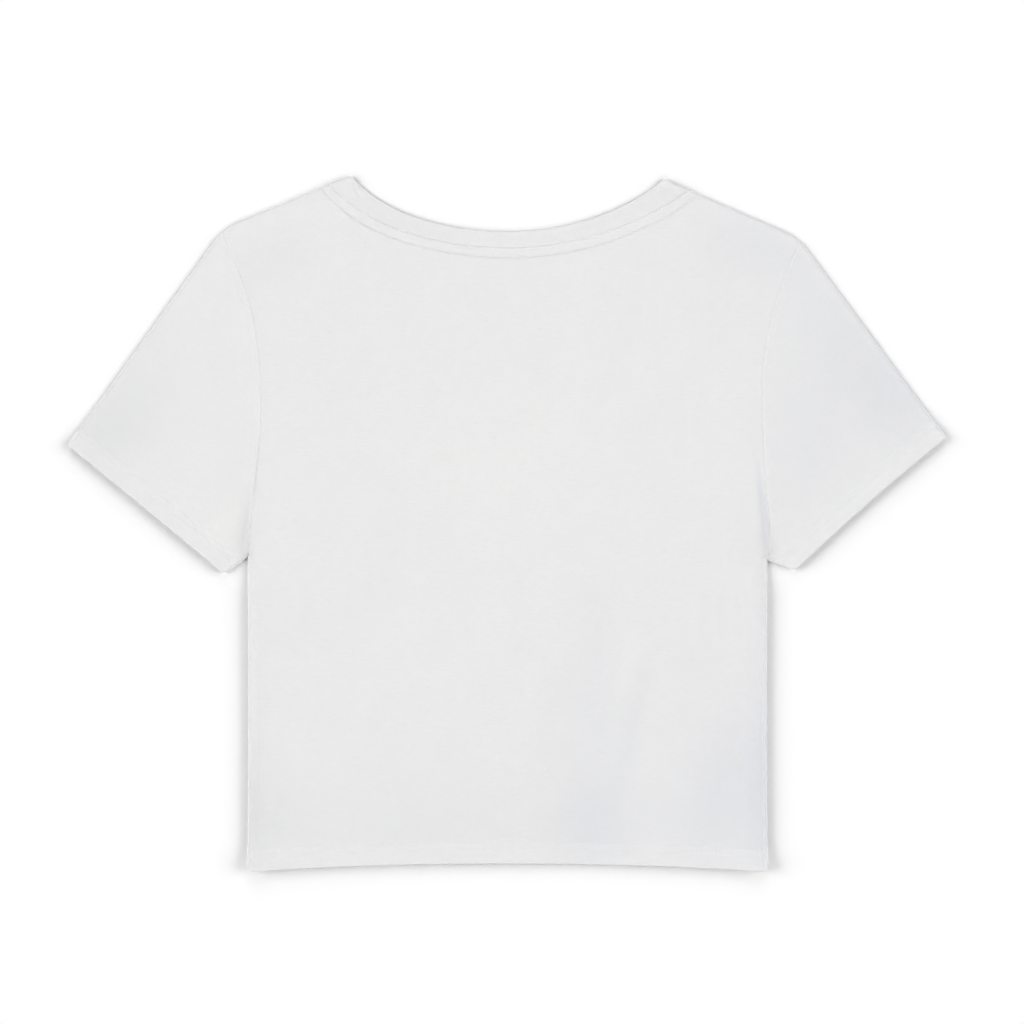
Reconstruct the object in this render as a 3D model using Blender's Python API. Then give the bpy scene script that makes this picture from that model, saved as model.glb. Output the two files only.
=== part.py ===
"""Cropped T-shirt in fine slub jersey, laid flat on its front with the back up.

Every panel is one closed solid, a wall of cloth with the garment's own cut:
back, front, two set-in sleeves and the neckband. X runs across the chest, Y from
the hem to the neck and Z up from the surface. The upper layer is the back, the
lower layer is the front, and the two meet in soft round folds at the sides,
the shoulders and the sleeves. The origin is on the surface, in the middle of
the garment's footprint.
"""

import math
from collections import namedtuple

import bmesh
import bpy
import numpy as np

MM = 0.001

# ---------------------------------------------------------------- cloth
CLOTH = 1.0 * MM            # wall of one layer of jersey
HEM_CLOTH = 1.6 * MM        # wall where a hem is turned up
HEM_PROUD = 0.25 * MM       # how far a hem stands above the panel it ends
HEM_DEPTH = 15.0 * MM       # turned-up hem of the body and of the sleeves
HEM_STEP = 0.9 * MM         # run over which the wall thickens at a hem
BAND_CLOTH = 1.5 * MM       # wall of the folded rib of the neckband
BAND_PROUD = 0.3 * MM       # how far the middle of the neckband stands proud
SEAM = 0.3 * MM             # room between two pieces at a seam

# ---------------------------------------------------------------- how it lies
FOLD_RADIUS = 2.3 * MM      # outer radius of the folds at the silhouette
LAY_LEVEL = 3.3 * MM        # upper face of the back where two layers lie still
CROWN_REACH = 15.0 * MM     # how far in from a fold the cloth stays lifted by it
CREASE_CLEAR = 12.0 * MM    # creases and droops die away this close to a fold
DIP_CLEAR = 3.0 * MM        # the dips at the armpits die away this close to a fold
NECK_DROOP = 1.1 * MM       # the back sinks by this where no front lies under it
DROOP_RUN = 55.0 * MM       # distance over which it sinks

# ---------------------------------------------------------------- the cut
CHEST_HALF = 192.4 * MM     # half the width of the body, from the side to the middle
WAIST_IN = 0.7 * MM         # the sides are drawn in by this half way down
HEM_MIDDLE = -251.2 * MM    # height of the hem in the middle, from the middle of the plan
HEM_ARCH = 6.0 * MM         # the hem hangs this much lower at the sides
HEM_ARCH_POWER = 2.2
CORNER = 4.5 * MM           # rounding of the hem's corners
CUFF_CORNER = 2.5 * MM      # rounding of the cuffs' corners
NECK_MIDDLE = 1.5 * MM      # the neck's lowest points lie this far right of the middle
BACK_EDGE = 216.1 * MM      # free edge of the neckband at the middle of the back
BACK_SEAM = 204.2 * MM      # seam of the neckband at the middle of the back
FRONT_EDGE = 165.0 * MM     # free edge of the neckband at the middle of the front
FRONT_SEAM = 152.4 * MM     # seam of the neckband at the middle of the front
FRONT_BOW = 0.62            # the share of a plain parabola in the front neck
BAND_BEND = 12.0 * MM       # the neckband's ends turn into the shoulder fold over this

# One row for each side. Points are plan places in millimetres, and the fold along
# the shoulder and the sleeve's top is given by its corners, with their rounding.
# edge_bow and seam_bow say how much of the neck curve is a plain parabola.
Side = namedtuple("Side", "sign fold root armhole underarm cuff_inner edge_bow seam_bow")
LEFT = Side(
    sign=-1,
    fold=(("neck tip", -116.2, 257.5, 0), ("shoulder", -210.1, 219.3, 50), ("cuff", -325.4, 58.5, 0)),
    root=16.9, armhole=104.2, underarm=(-192.4, -24.3), cuff_inner=(-209.7, -36.9),
    edge_bow=0.71, seam_bow=0.71)
RIGHT = Side(
    sign=1,
    fold=(("neck tip", 116.9, 255.7, 0), ("band bend", 122.0, 252.3, 0),
          ("shoulder", 215.0, 212.4, 50), ("cuff", 324.6, 64.0, 0)),
    root=20.0, armhole=110.2, underarm=(192.4, -26.9), cuff_inner=(212.8, -34.2),
    edge_bow=0.88, seam_bow=0.95)

# Armhole seam: share of its height from the underarm to the shoulder fold, and how
# far in from the side of the body it lies there, in millimetres.
Armhole = namedtuple("Armhole", "share left_in right_in")
ARMHOLE = (
    Armhole(0.00, 0.0, 0.0),
    Armhole(0.09, 2.2, -1.9),
    Armhole(0.24, 6.2, 1.2),
    Armhole(0.44, 10.0, 3.6),
    Armhole(0.58, 9.0, 3.4),
    Armhole(0.70, 6.2, 0.4),
    Armhole(0.85, -3.6, -9.0),
)

# The largest soft troughs and ridges of the upper layer, in millimetres: middle,
# length, direction (degrees from +X), width to where it has almost gone, height.
Crease = namedtuple("Crease", "name x y length direction width height")
CREASES = (
    Crease("long trough right of the middle", 66, -140, 250, 89, 17, -0.75),
    Crease("ridge beside it", 84, -118, 150, 86, 10, 0.45),
    Crease("short trough beside the ridge", 98, -136, 130, 83, 11, -0.50),
    Crease("spread of the trough at the hem", 62, -224, 90, 90, 30, -0.35),
    Crease("broad slant trough on the left", -110, -70, 190, 53, 26, -0.70),
    Crease("swell above it", -78, 20, 150, 40, 34, 0.45),
    Crease("hollow at the lower right", 166, -180, 170, 84, 24, -0.50),
    Crease("drag from the right underarm", 150, -50, 110, 128, 16, 0.40),
    Crease("hollow of the left sleeve", -272, 84, 120, 48, 24, -0.60),
    Crease("swell of the left sleeve", -214, 40, 110, 60, 20, 0.50),
    Crease("hollow of the right sleeve", 278, 92, 120, 132, 22, -0.60),
    Crease("swell of the right sleeve", 222, 60, 120, 112, 18, 0.45),
)

# Where the cloth dips beside the armhole seam at each armpit, close to the folds.
DIPS = (
    Crease("sleeve tucks under on the left", -197, 8, 90, 87, 6, -0.80),
    Crease("body tucks under on the right", 188, 4, 90, 95, 5, -0.80),
)

# ---------------------------------------------------------------- mesh spacing
TURN_ANGLES = (0, 30, 60, 90)    # steps of a fold's quarter turn, in degrees
CROWN_STEPS = (8.0, 18.0)        # further steps in from a fold, in millimetres
BODY_ROWS = 9
YOKE_ROWS = 7
SHOULDER_COLUMNS = 3
NECK_COLUMNS = 15
SLEEVE_ROWS = 7
BAND_ACROSS = 3
FINE = 200                       # points of a seam's path before it is sampled

UPPER = 1
LOWER = -1

WHITE_JERSEY = (0.80, 0.81, 0.83, 1.0)
WHITE_RIB = (0.82, 0.83, 0.85, 1.0)


# ---------------------------------------------------------------- small helpers
def smooth(share):
    """Ease from 0 to 1."""
    share = np.clip(share, 0.0, 1.0)
    return share * share * (3.0 - 2.0 * share)


def unit(vectors):
    """The same directions at length 1."""
    length = np.linalg.norm(vectors, axis=-1, keepdims=True)
    return vectors / np.maximum(length, 1e-12)


def lerp(start, end, share):
    """Point or points part of the way from start to end."""
    return start + (end - start) * share


def curve_through(knots, values, at):
    """Smooth curve through a short table, read at the places in 'at'."""
    knots, values = np.asarray(knots, float), np.asarray(values, float)
    slopes = np.gradient(values, knots)
    i = np.clip(np.searchsorted(knots, at, side="right") - 1, 0, len(knots) - 2)
    gap = knots[i + 1] - knots[i]
    t = np.clip((at - knots[i]) / gap, 0.0, 1.0)
    start = values[i] * (1 + 2 * t) * (1 - t) ** 2 + slopes[i] * gap * t * (1 - t) ** 2
    end = values[i + 1] * t * t * (3 - 2 * t) + slopes[i + 1] * gap * t * t * (t - 1)
    return start + end


def run_of(path):
    """Distance along a path of each of its points."""
    steps = np.linalg.norm(np.diff(path, axis=0), axis=1)
    return np.concatenate([[0.0], np.cumsum(steps)])


def length_of(path):
    """Length of a path of points."""
    return float(run_of(path)[-1])


def along(path, distances, beside=0.0):
    """Points at distances along a path, or beside it, to its left."""
    run = run_of(path)
    way = unit(np.gradient(path, run, axis=0))
    moved = path + beside * np.stack([-way[:, 1], way[:, 0]], axis=1)
    return np.stack([np.interp(distances, run, moved[:, k]) for k in (0, 1)], axis=-1)


def spaced(length, near, far, count):
    """Distances from 0 to length: fixed steps at both ends, even ones between."""
    near, far = np.asarray(near, float), np.asarray(far, float)
    middle = np.linspace(near[-1], length - far[-1], count + 2)[1:-1]
    return np.concatenate([near, middle, length - far[::-1]])


def turn_steps():
    """Distances in from a fold at which its quarter turn and its crown are drawn."""
    turn = [FOLD_RADIUS * (1.0 - math.cos(math.radians(a))) for a in TURN_ANGLES]
    return np.array(turn + [step * MM for step in CROWN_STEPS])


# ---------------------------------------------------------------- outline
def rounded(corners):
    """Path through corners (name, x, y, rounding radius), in metres."""
    points = [np.array([x, y]) * MM for _, x, y, _ in corners]
    path = [points[0]]
    for before, here, after, (_, _, _, radius) in zip(points, points[1:], points[2:], corners[1:]):
        back, on = unit(before - here), unit(after - here)
        half = 0.5 * math.acos(float(np.dot(back, on)))
        reach = radius * MM / math.tan(half)
        if reach == 0.0:
            path.append(here)
            continue
        start, end = here + back * reach, here + on * reach
        for share in np.linspace(0.0, 1.0, 9):
            path.append(lerp(lerp(start, here, share), lerp(here, end, share), share))
    path.append(points[-1])
    return np.array(path)


def upper_fold(side):
    """Fold along the neckband's end, the shoulder and the top of the sleeve."""
    return rounded(side.fold)


def hem_height(x):
    """Height of the body's hem at x: arched, with rounded corners."""
    out = np.abs(x) / CHEST_HALF
    arch = HEM_MIDDLE - HEM_ARCH * out ** HEM_ARCH_POWER
    past = np.clip((np.abs(x) - CHEST_HALF + CORNER) / CORNER, 0.0, 1.0)
    return arch + CORNER * (1.0 - np.sqrt(1.0 - past ** 2))


def body_half(height, chest):
    """Half the width of the body at a height between the hem and the chest line."""
    share = (chest - height) / (chest - HEM_MIDDLE)
    return CHEST_HALF - WAIST_IN * np.sin(math.pi * np.clip(share, 0.0, 1.0))


def side_fold(side):
    """Fold along the side of the body, from the underarm to the hem."""
    chest = side.underarm[1] * MM
    height = np.linspace(chest, float(hem_height(CHEST_HALF)), 13)
    return np.stack([side.sign * body_half(height, chest), height], axis=1)


def fold_segments():
    """Every straight piece of the folds in plan: its start, its end and its way out."""
    starts, ends, outs = [], [], []
    for side in (LEFT, RIGHT):
        lower = np.concatenate([[np.array(side.cuff_inner) * MM], side_fold(side)])
        for path in (upper_fold(side), lower):
            way = unit(np.diff(path, axis=0))
            starts.extend(path[:-1])
            ends.extend(path[1:])
            outs.extend(side.sign * np.stack([-way[:, 1], way[:, 0]], axis=1))
    return np.array(starts), np.array(ends), np.array(outs)


FOLD_STARTS, FOLD_ENDS, FOLD_OUTS = fold_segments()
ON_FOLD = 0.02 * MM         # nearer than this, a point counts as on the fold


def to_fold(plan):
    """Distance from each plan point to the nearest fold, and the way out to it.

    On a fold the way out is square to it, and in a corner it halves the angle.
    """
    flat = plan.reshape(-1, 1, 2)
    run = FOLD_ENDS - FOLD_STARTS
    share = ((flat - FOLD_STARTS) * run).sum(-1) / (run ** 2).sum(-1)
    gap = FOLD_STARTS + np.clip(share, 0.0, 1.0)[..., None] * run - flat
    distances = np.linalg.norm(gap, axis=-1)
    rows, best = np.arange(len(distances)), distances.argmin(axis=1)
    touching = distances < ON_FOLD
    on_it = touching.any(axis=1)
    distance = np.where(on_it, 0.0, distances[rows, best])
    square = unit(touching.astype(float) @ FOLD_OUTS)
    way = np.where(on_it[:, None], square, unit(gap[rows, best]))
    return distance.reshape(plan.shape[:-1]), way.reshape(plan.shape)


# ---------------------------------------------------------------- the lay
def crease_height(crease, plan):
    """Height that one soft crease adds at each plan point."""
    angle = math.radians(crease.direction)
    on = np.array([math.cos(angle), math.sin(angle)])
    away = plan - np.array([crease.x, crease.y]) * MM
    run = (away * on).sum(-1) / (0.5 * crease.length * MM)
    across = (away[..., 0] * -on[1] + away[..., 1] * on[0]) / (crease.width * MM)
    return crease.height * MM * np.exp(-across ** 2) * smooth(1.0 - np.abs(run))


def upper_level(plan):
    """Height of the upper layer's face, before it turns down at the folds."""
    distance, _ = to_fold(plan)
    past = np.maximum(distance - FOLD_RADIUS, 0.0)
    level = LAY_LEVEL + (2.0 * FOLD_RADIUS - LAY_LEVEL) * np.exp(-(past / CROWN_REACH) ** 2)
    soft = sum(crease_height(crease, plan) for crease in CREASES)
    past_front = plan[..., 1] - front_neck_height(plan[..., 0])
    soft = soft - NECK_DROOP * smooth(past_front / DROOP_RUN)
    level = level + soft * smooth(past / CREASE_CLEAR)
    dips = sum(crease_height(dip, plan) for dip in DIPS)
    return level + dips * smooth(past / DIP_CLEAR)


def face(plan, layer):
    """Points of the garment's outer face over the plan, and its normals.

    Away from the folds the lower layer is flat on the surface. Within the fold
    radius both layers follow a quarter circle to half the height of the fold.
    """
    distance, out = to_fold(plan)
    turn = np.arccos(np.clip(1.0 - distance / FOLD_RADIUS, 0.0, 1.0))
    level = upper_level(plan) if layer == UPPER else np.zeros(distance.shape)
    height = level - layer * FOLD_RADIUS * (1.0 - np.sin(turn))
    slope = np.zeros(plan.shape)
    if layer == UPPER:
        reach = 0.5 * MM
        for axis in (0, 1):
            step = np.zeros(2)
            step[axis] = reach
            slope[..., axis] = (upper_level(plan + step) - upper_level(plan - step)) / (2 * reach)
    sideways = out * np.cos(turn)[..., None] - slope * np.sin(turn)[..., None]
    normals = unit(np.concatenate([sideways, layer * np.sin(turn)[..., None]], axis=-1))
    return np.concatenate([plan, height[..., None]], axis=-1), normals


def wall(points, normals, thick, proud):
    """Outer and inner face of a wall. A part below that is proud stays on the floor."""
    lift = proud * (1.0 + normals[..., 2]) / 2.0
    outer = points + normals * lift[..., None]
    return outer, outer - normals * thick[..., None]


# ---------------------------------------------------------------- seams in plan
def neck_rise(x, side_bow, half, rise):
    """Rise of a neck curve above its lowest point."""
    t = np.abs(x - NECK_MIDDLE) / half
    return rise * (side_bow * t ** 2 + (1.0 - side_bow) * t ** 6)


def neck_path(ends, bottom, bows):
    """Neck curve from its left end to its right one, as a path."""
    halves = []
    for end, bow in zip(ends, bows):
        x = lerp(end[0], NECK_MIDDLE, np.linspace(0.0, 1.0, FINE))
        y = bottom + neck_rise(x, bow, abs(end[0] - NECK_MIDDLE), end[1] - bottom)
        halves.append(np.stack([x, y], axis=1))
    return np.concatenate([halves[0], halves[1][-2::-1]])


def band_root(side):
    """Where the neckband's seam meets the shoulder fold."""
    return along(upper_fold(side), side.root * MM)


def neck_tip(side):
    """Where the neckband's free edge meets the shoulder fold."""
    return upper_fold(side)[0]


ROOTS = (band_root(LEFT), band_root(RIGHT))
TIPS = (neck_tip(LEFT), neck_tip(RIGHT))
BACK_SEAM_PATH = neck_path(ROOTS, BACK_SEAM, (LEFT.seam_bow, RIGHT.seam_bow))
BACK_EDGE_PATH = neck_path(TIPS, BACK_EDGE, (LEFT.edge_bow, RIGHT.edge_bow))
FRONT_SEAM_PATH = neck_path(ROOTS, FRONT_SEAM, (FRONT_BOW, FRONT_BOW))
FRONT_EDGE_PATH = neck_path(TIPS, FRONT_EDGE, (FRONT_BOW, FRONT_BOW))


def front_neck_height(x):
    """Height of the front neck's seam at x, and of the shoulders past its ends."""
    return np.interp(x, FRONT_SEAM_PATH[:, 0], FRONT_SEAM_PATH[:, 1])


def armhole_x(side, height):
    """Place across of the armhole seam at a height above the underarm."""
    top = along(upper_fold(side), side.armhole * MM)
    low = np.array(side.underarm) * MM
    shares = [row.share for row in ARMHOLE] + [1.0]
    column = "left_in" if side.sign < 0 else "right_in"
    inset = [getattr(row, column) * MM for row in ARMHOLE] + [CHEST_HALF - abs(top[0])]
    share = (height - low[1]) / (top[1] - low[1])
    return side.sign * (CHEST_HALF - curve_through(shares, inset, share))


def yoke_rise(height):
    """Steps up from the underarm to the shoulder, shared by the body and the sleeves."""
    return spaced(height, turn_steps(), turn_steps(), YOKE_ROWS)


def armhole_path(side):
    """Armhole seam from the underarm to the shoulder fold, as a path."""
    low = side.underarm[1] * MM
    top = along(upper_fold(side), side.armhole * MM)[1]
    height = np.linspace(low, top, FINE)
    return np.stack([armhole_x(side, height), height], axis=1)


# ---------------------------------------------------------------- meshes
def grid_faces(rows, columns, ring):
    """Quads of a grid of points; a ring joins its last column to its first."""
    last = columns if ring else columns - 1
    for i in range(rows - 1):
        for j in range(last):
            k = (j + 1) % columns
            yield i * columns + j, i * columns + k, (i + 1) * columns + k, (i + 1) * columns + j


def rim(rows, columns, ring):
    """Open edges of the grid, each as pairs of points in order."""
    last = columns if ring else columns - 1
    for j in range(last):
        k = (j + 1) % columns
        yield k, j
        yield (rows - 1) * columns + j, (rows - 1) * columns + k
    if not ring:
        for i in range(rows - 1):
            yield i * columns, (i + 1) * columns
            yield (i + 2) * columns - 1, (i + 1) * columns - 1


def cloth_object(name, outer, inner, ring, colour):
    """Closed wall between two grids of points, as an object of its own."""
    rows, columns = outer.shape[:2]
    count = rows * columns
    points = np.concatenate([outer.reshape(-1, 3), inner.reshape(-1, 3)])
    mesh_faces = []
    for quad in grid_faces(rows, columns, ring):
        mesh_faces.append(quad)
        mesh_faces.append(tuple(count + corner for corner in reversed(quad)))
    for a, b in rim(rows, columns, ring):
        mesh_faces.append((a, b, count + b, count + a))
    mesh = bpy.data.meshes.new(name)
    mesh.from_pydata(points.tolist(), [], mesh_faces)
    shape = bmesh.new()
    shape.from_mesh(mesh)
    bmesh.ops.triangulate(shape, faces=shape.faces[:])
    bmesh.ops.recalc_face_normals(shape, faces=shape.faces[:])
    shape.to_mesh(mesh)
    shape.free()
    mesh.shade_smooth()
    mesh.set_sharp_from_angle(angle=math.radians(50))
    mesh.materials.append(jersey(name, colour))
    cloth = bpy.data.objects.new(name, mesh)
    bpy.context.collection.objects.link(cloth)
    return cloth


def jersey(name, colour):
    """Matt white cotton."""
    material = bpy.data.materials.new(name + "_cloth")
    material.use_nodes = True
    shader = material.node_tree.nodes["Principled BSDF"]
    shader.inputs["Base Color"].default_value = colour
    shader.inputs["Roughness"].default_value = 0.92
    shader.inputs["Metallic"].default_value = 0.0
    return material


# ---------------------------------------------------------------- body panels
def neck_stations(path):
    """Distances along a neck curve at which both the band and its panel have a point."""
    steps = turn_steps()[:-1]
    return spaced(length_of(path), steps, steps, NECK_COLUMNS)


def panel_columns(neck):
    """Points of a panel's upper edge that its columns run to, and their shares across.

    The edge is the left shoulder, the neck and the right shoulder. The neck is a
    seam's room off the neckband, and the shoulders lie on the fold itself.
    """
    shoulders = []
    for side in (LEFT, RIGHT):
        start, end = side.root * MM + SEAM, side.armhole * MM
        run = spaced(end - start, [0.0], turn_steps(), SHOULDER_COLUMNS)
        shoulders.append(along(upper_fold(side), start + run))
    seam = along(neck, neck_stations(neck)[2:-2], -SEAM)
    top = np.concatenate([shoulders[0][::-1], seam, shoulders[1]])
    share = (top[:, 0] - top[0, 0]) / (top[-1, 0] - top[0, 0])
    steps = turn_steps() / (2.0 * CHEST_HALF)
    share[:len(steps)] = steps
    share[-len(steps):] = 1.0 - steps[::-1]
    return top, share


def body_plan(neck):
    """Plan points of a body panel, rows from the hem up and columns from left to right.

    Below the chest line the columns are straight. Above it they fan out to the
    shoulders, and the panel's sides follow the armhole seams.
    """
    top, share = panel_columns(neck)
    x_chest = lerp(-CHEST_HALF, CHEST_HALF, share)
    y_chest = lerp(LEFT.underarm[1], RIGHT.underarm[1], share) * MM
    y_hem = hem_height(x_chest)
    hem_steps = [0.0, HEM_DEPTH, HEM_DEPTH + HEM_STEP]
    rise = [spaced(c - h, hem_steps, [0.0], BODY_ROWS) for c, h in zip(y_chest, y_hem)]
    y_low = y_hem + np.array(rise).T
    low = np.stack([x_chest * body_half(y_low, y_chest) / CHEST_HALF, y_low], axis=-1)
    climb = [yoke_rise(t - c) for t, c in zip(top[:, 1], y_chest)]
    climb = np.array(climb).T[1:]
    y_high = y_chest + climb
    part = climb / (top[:, 1] - y_chest)
    x_high = lerp(x_chest, top[:, 0], part)
    for side, column, weight in ((LEFT, 0, 1.0 - share), (RIGHT, -1, share)):
        seam_x = armhole_x(side, y_high[:, column])
        x_high = x_high + (seam_x - x_high[:, column])[:, None] * weight
    high = np.stack([x_high, y_high], axis=-1)
    return np.concatenate([low, high])


def body_panel(name, neck, layer):
    """Back or front of the body. Its turned edges stop half a seam off mid-height."""
    plan = body_plan(neck)
    points, normals = face(plan, layer)
    above_hem = plan[..., 1] - hem_height(plan[..., 0])
    hem = 1.0 - smooth((above_hem - HEM_DEPTH) / HEM_STEP)
    outer, inner = wall(points, normals, lerp(CLOTH, HEM_CLOTH, hem), HEM_PROUD * hem)
    middle = FOLD_RADIUS + layer * 0.5 * SEAM
    turning = to_fold(plan)[0] < FOLD_RADIUS
    for grid in (outer, inner):
        clear = layer * np.maximum(layer * grid[..., 2], layer * middle)
        grid[..., 2] = np.where(turning, clear, grid[..., 2])
    return cloth_object(name, outer, inner, False, WHITE_JERSEY)


# ---------------------------------------------------------------- sleeves
def sleeve_plan(side):
    """Plan points of a sleeve, rows from the armhole to the cuff.

    Columns run from the underarm fold to the fold along the sleeve's top.
    """
    at_seam, top = sleeve_seam(side), sleeve_top(side)
    inner, outer = np.array(side.cuff_inner) * MM, top[-1]
    width = float(np.linalg.norm(outer - inner))
    places = spaced(width, turn_steps(), turn_steps(), YOKE_ROWS)
    across = unit(outer - inner)
    back = np.array([-across[1], across[0]])
    at_cuff = inner + across * places[:, None]
    columns = []
    for begin, end, place in zip(at_seam, at_cuff, places):
        way = unit(end - begin)
        slant = abs(float(way @ back))
        length = np.linalg.norm(end - begin) - cuff_rounding(min(place, width - place)) / slant
        far = np.array([0.0, HEM_DEPTH, HEM_DEPTH + HEM_STEP]) / slant
        run = spaced(float(length), [0.0], far, SLEEVE_ROWS)
        columns.append(begin + way * run[:, None])
    bow = along(top, run) - columns[-1]
    weight = smooth(places / width)
    return np.stack([column + bow * w for column, w in zip(columns, weight)], axis=1)


def sleeve_seam(side):
    """Points of the sleeve's armhole edge, level with the rows of the body panels."""
    path = armhole_path(side)
    low, high = path[0, 1], path[-1, 1]
    run = np.interp(low + yoke_rise(high - low), path[:, 1], run_of(path))
    seam = along(path, run, -side.sign * SEAM)
    seam[-1] = sleeve_top(side)[0]
    seam[0] = path[0] + SEAM * unit(np.array(side.cuff_inner) * MM - path[0])
    return seam


def sleeve_top(side):
    """Fold along the top of the sleeve, from a seam's room past the armhole."""
    fold = upper_fold(side)
    start = side.armhole * MM + SEAM
    return along(fold, np.linspace(start, length_of(fold), FINE))


def cuff_rounding(edge):
    """How far a cuff's edge draws back this near to its corner."""
    past = np.clip(1.0 - edge / CUFF_CORNER, 0.0, 1.0)
    return CUFF_CORNER * (1.0 - math.sqrt(1.0 - past ** 2))


def sleeve(name, side):
    """One sleeve, a flattened tube open at the armhole and at the cuff."""
    plan = sleeve_plan(side)
    upper, upper_normals = face(plan, UPPER)
    lower, lower_normals = face(plan, LOWER)
    ring = np.concatenate([upper, lower[:, -2:0:-1]], axis=1)
    normals = np.concatenate([upper_normals, lower_normals[:, -2:0:-1]], axis=1)
    hem = np.zeros(len(plan))
    hem[-2:] = 1.0
    hem = np.broadcast_to(hem[:, None], ring.shape[:2])
    outer, inner = wall(ring, normals, lerp(CLOTH, HEM_CLOTH, hem), HEM_PROUD * hem)
    return cloth_object(name, outer, inner, True, WHITE_JERSEY)


# ---------------------------------------------------------------- neckband
def band_half(edge, seam):
    """Plan points of half the neckband: stations from left to right, then across."""
    inner, outer = along(edge, neck_stations(edge)), along(seam, neck_stations(seam))
    across = np.linspace(0.0, 1.0, BAND_ACROSS + 1)[:, None, None]
    plan = np.swapaxes(lerp(inner, outer, across), 0, 1).copy()
    run = neck_stations(seam)
    for side, near in ((LEFT, run), (RIGHT, run[-1] - run)):
        fold = along(upper_fold(side), np.linspace(0.0, side.root * MM, BAND_ACROSS + 1))
        bend = fold - plan[0 if side is LEFT else -1]
        plan += np.exp(-near / BAND_BEND)[:, None, None] * bend
    return plan


def neckband(name):
    """Folded rib sewn into a ring, over the back neck and under the front one."""
    back = band_half(BACK_EDGE_PATH, BACK_SEAM_PATH)
    front = band_half(FRONT_EDGE_PATH, FRONT_SEAM_PATH)
    upper, upper_normals = face(back, UPPER)
    lower, lower_normals = face(front, LOWER)
    ring = np.concatenate([upper, lower[-2:0:-1]])
    normals = np.concatenate([upper_normals, lower_normals[-2:0:-1]])
    swell = np.sin(np.linspace(0.0, math.pi, BAND_ACROSS + 1))
    swell = np.broadcast_to(swell, ring.shape[:2])
    thick = BAND_CLOTH - BAND_PROUD * (1.0 - swell)
    outer, inner = wall(ring, normals, thick, BAND_PROUD * swell)
    turned = np.swapaxes(outer, 0, 1), np.swapaxes(inner, 0, 1)
    return cloth_object(name, *turned, True, WHITE_RIB)


# ---------------------------------------------------------------- assembly
def clear_scene():
    """Start from an empty scene."""
    for thing in list(bpy.data.objects):
        bpy.data.objects.remove(thing, do_unlink=True)


def centre(pieces):
    """Bring the middle of the footprint to the origin, and the lowest point to 0."""
    points = np.array([vertex.co[:] for piece in pieces for vertex in piece.data.vertices])
    low, high = points.min(axis=0), points.max(axis=0)
    shift = np.array([(low[0] + high[0]) / 2, (low[1] + high[1]) / 2, low[2]])
    for piece in pieces:
        for vertex in piece.data.vertices:
            vertex.co = [vertex.co[k] - shift[k] for k in range(3)]


def main():
    """Build the garment's five pieces."""
    clear_scene()
    pieces = [
        body_panel("back", BACK_SEAM_PATH, UPPER),
        body_panel("front", FRONT_SEAM_PATH, LOWER),
        sleeve("sleeve_left", LEFT),
        sleeve("sleeve_right", RIGHT),
        neckband("neckband"),
    ]
    centre(pieces)


main()
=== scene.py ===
"""Cropped T-shirt in white slub jersey, laid flat with its back up.

The panels are thin shells of jersey on the form of the frame's solids, with their
seams, hems, creases and stitches. X runs across the chest, Y from the hem to the
neck and Z up from the surface. Everything is worked out in the plan of the cut,
whose middle lies a little off the frame's origin, and is moved there at the end.
"""

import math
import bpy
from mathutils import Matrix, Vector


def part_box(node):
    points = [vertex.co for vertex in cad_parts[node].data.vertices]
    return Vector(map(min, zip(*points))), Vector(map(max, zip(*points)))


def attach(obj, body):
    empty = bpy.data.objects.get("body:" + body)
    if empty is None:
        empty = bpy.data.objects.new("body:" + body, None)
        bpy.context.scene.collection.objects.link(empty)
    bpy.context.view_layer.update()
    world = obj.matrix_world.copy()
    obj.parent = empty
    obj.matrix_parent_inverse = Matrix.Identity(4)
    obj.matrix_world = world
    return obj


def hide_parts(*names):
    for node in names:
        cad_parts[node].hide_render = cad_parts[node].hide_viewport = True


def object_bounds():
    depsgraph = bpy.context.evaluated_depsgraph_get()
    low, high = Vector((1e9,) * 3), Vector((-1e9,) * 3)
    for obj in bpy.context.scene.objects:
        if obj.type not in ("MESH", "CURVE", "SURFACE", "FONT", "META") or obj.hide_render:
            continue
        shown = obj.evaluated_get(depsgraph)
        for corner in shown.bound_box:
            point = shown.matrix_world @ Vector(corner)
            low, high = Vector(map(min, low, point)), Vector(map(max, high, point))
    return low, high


bl_info = {
    "name": "Cropped T-shirt",
    "version": (1, 0, 0),
    "blender": (4, 5, 0),
    "location": "3D View > Sidebar > T-shirt",
    "description": "Cloth, sewing and stage of a cropped T-shirt that lies flat",
    "category": "Object",
}

from collections import namedtuple

import bmesh
import bpy
import numpy as np
from bpy.props import FloatProperty, FloatVectorProperty, PointerProperty

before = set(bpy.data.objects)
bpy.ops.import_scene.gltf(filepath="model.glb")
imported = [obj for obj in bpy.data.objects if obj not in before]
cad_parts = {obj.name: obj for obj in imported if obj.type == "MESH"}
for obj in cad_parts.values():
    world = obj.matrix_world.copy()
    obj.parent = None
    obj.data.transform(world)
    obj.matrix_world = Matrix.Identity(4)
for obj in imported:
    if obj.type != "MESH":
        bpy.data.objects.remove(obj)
CAD_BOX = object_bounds()

MM = 0.001
UPPER = 1.0
LOWER = -1.0
ROOT = "root"

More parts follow.
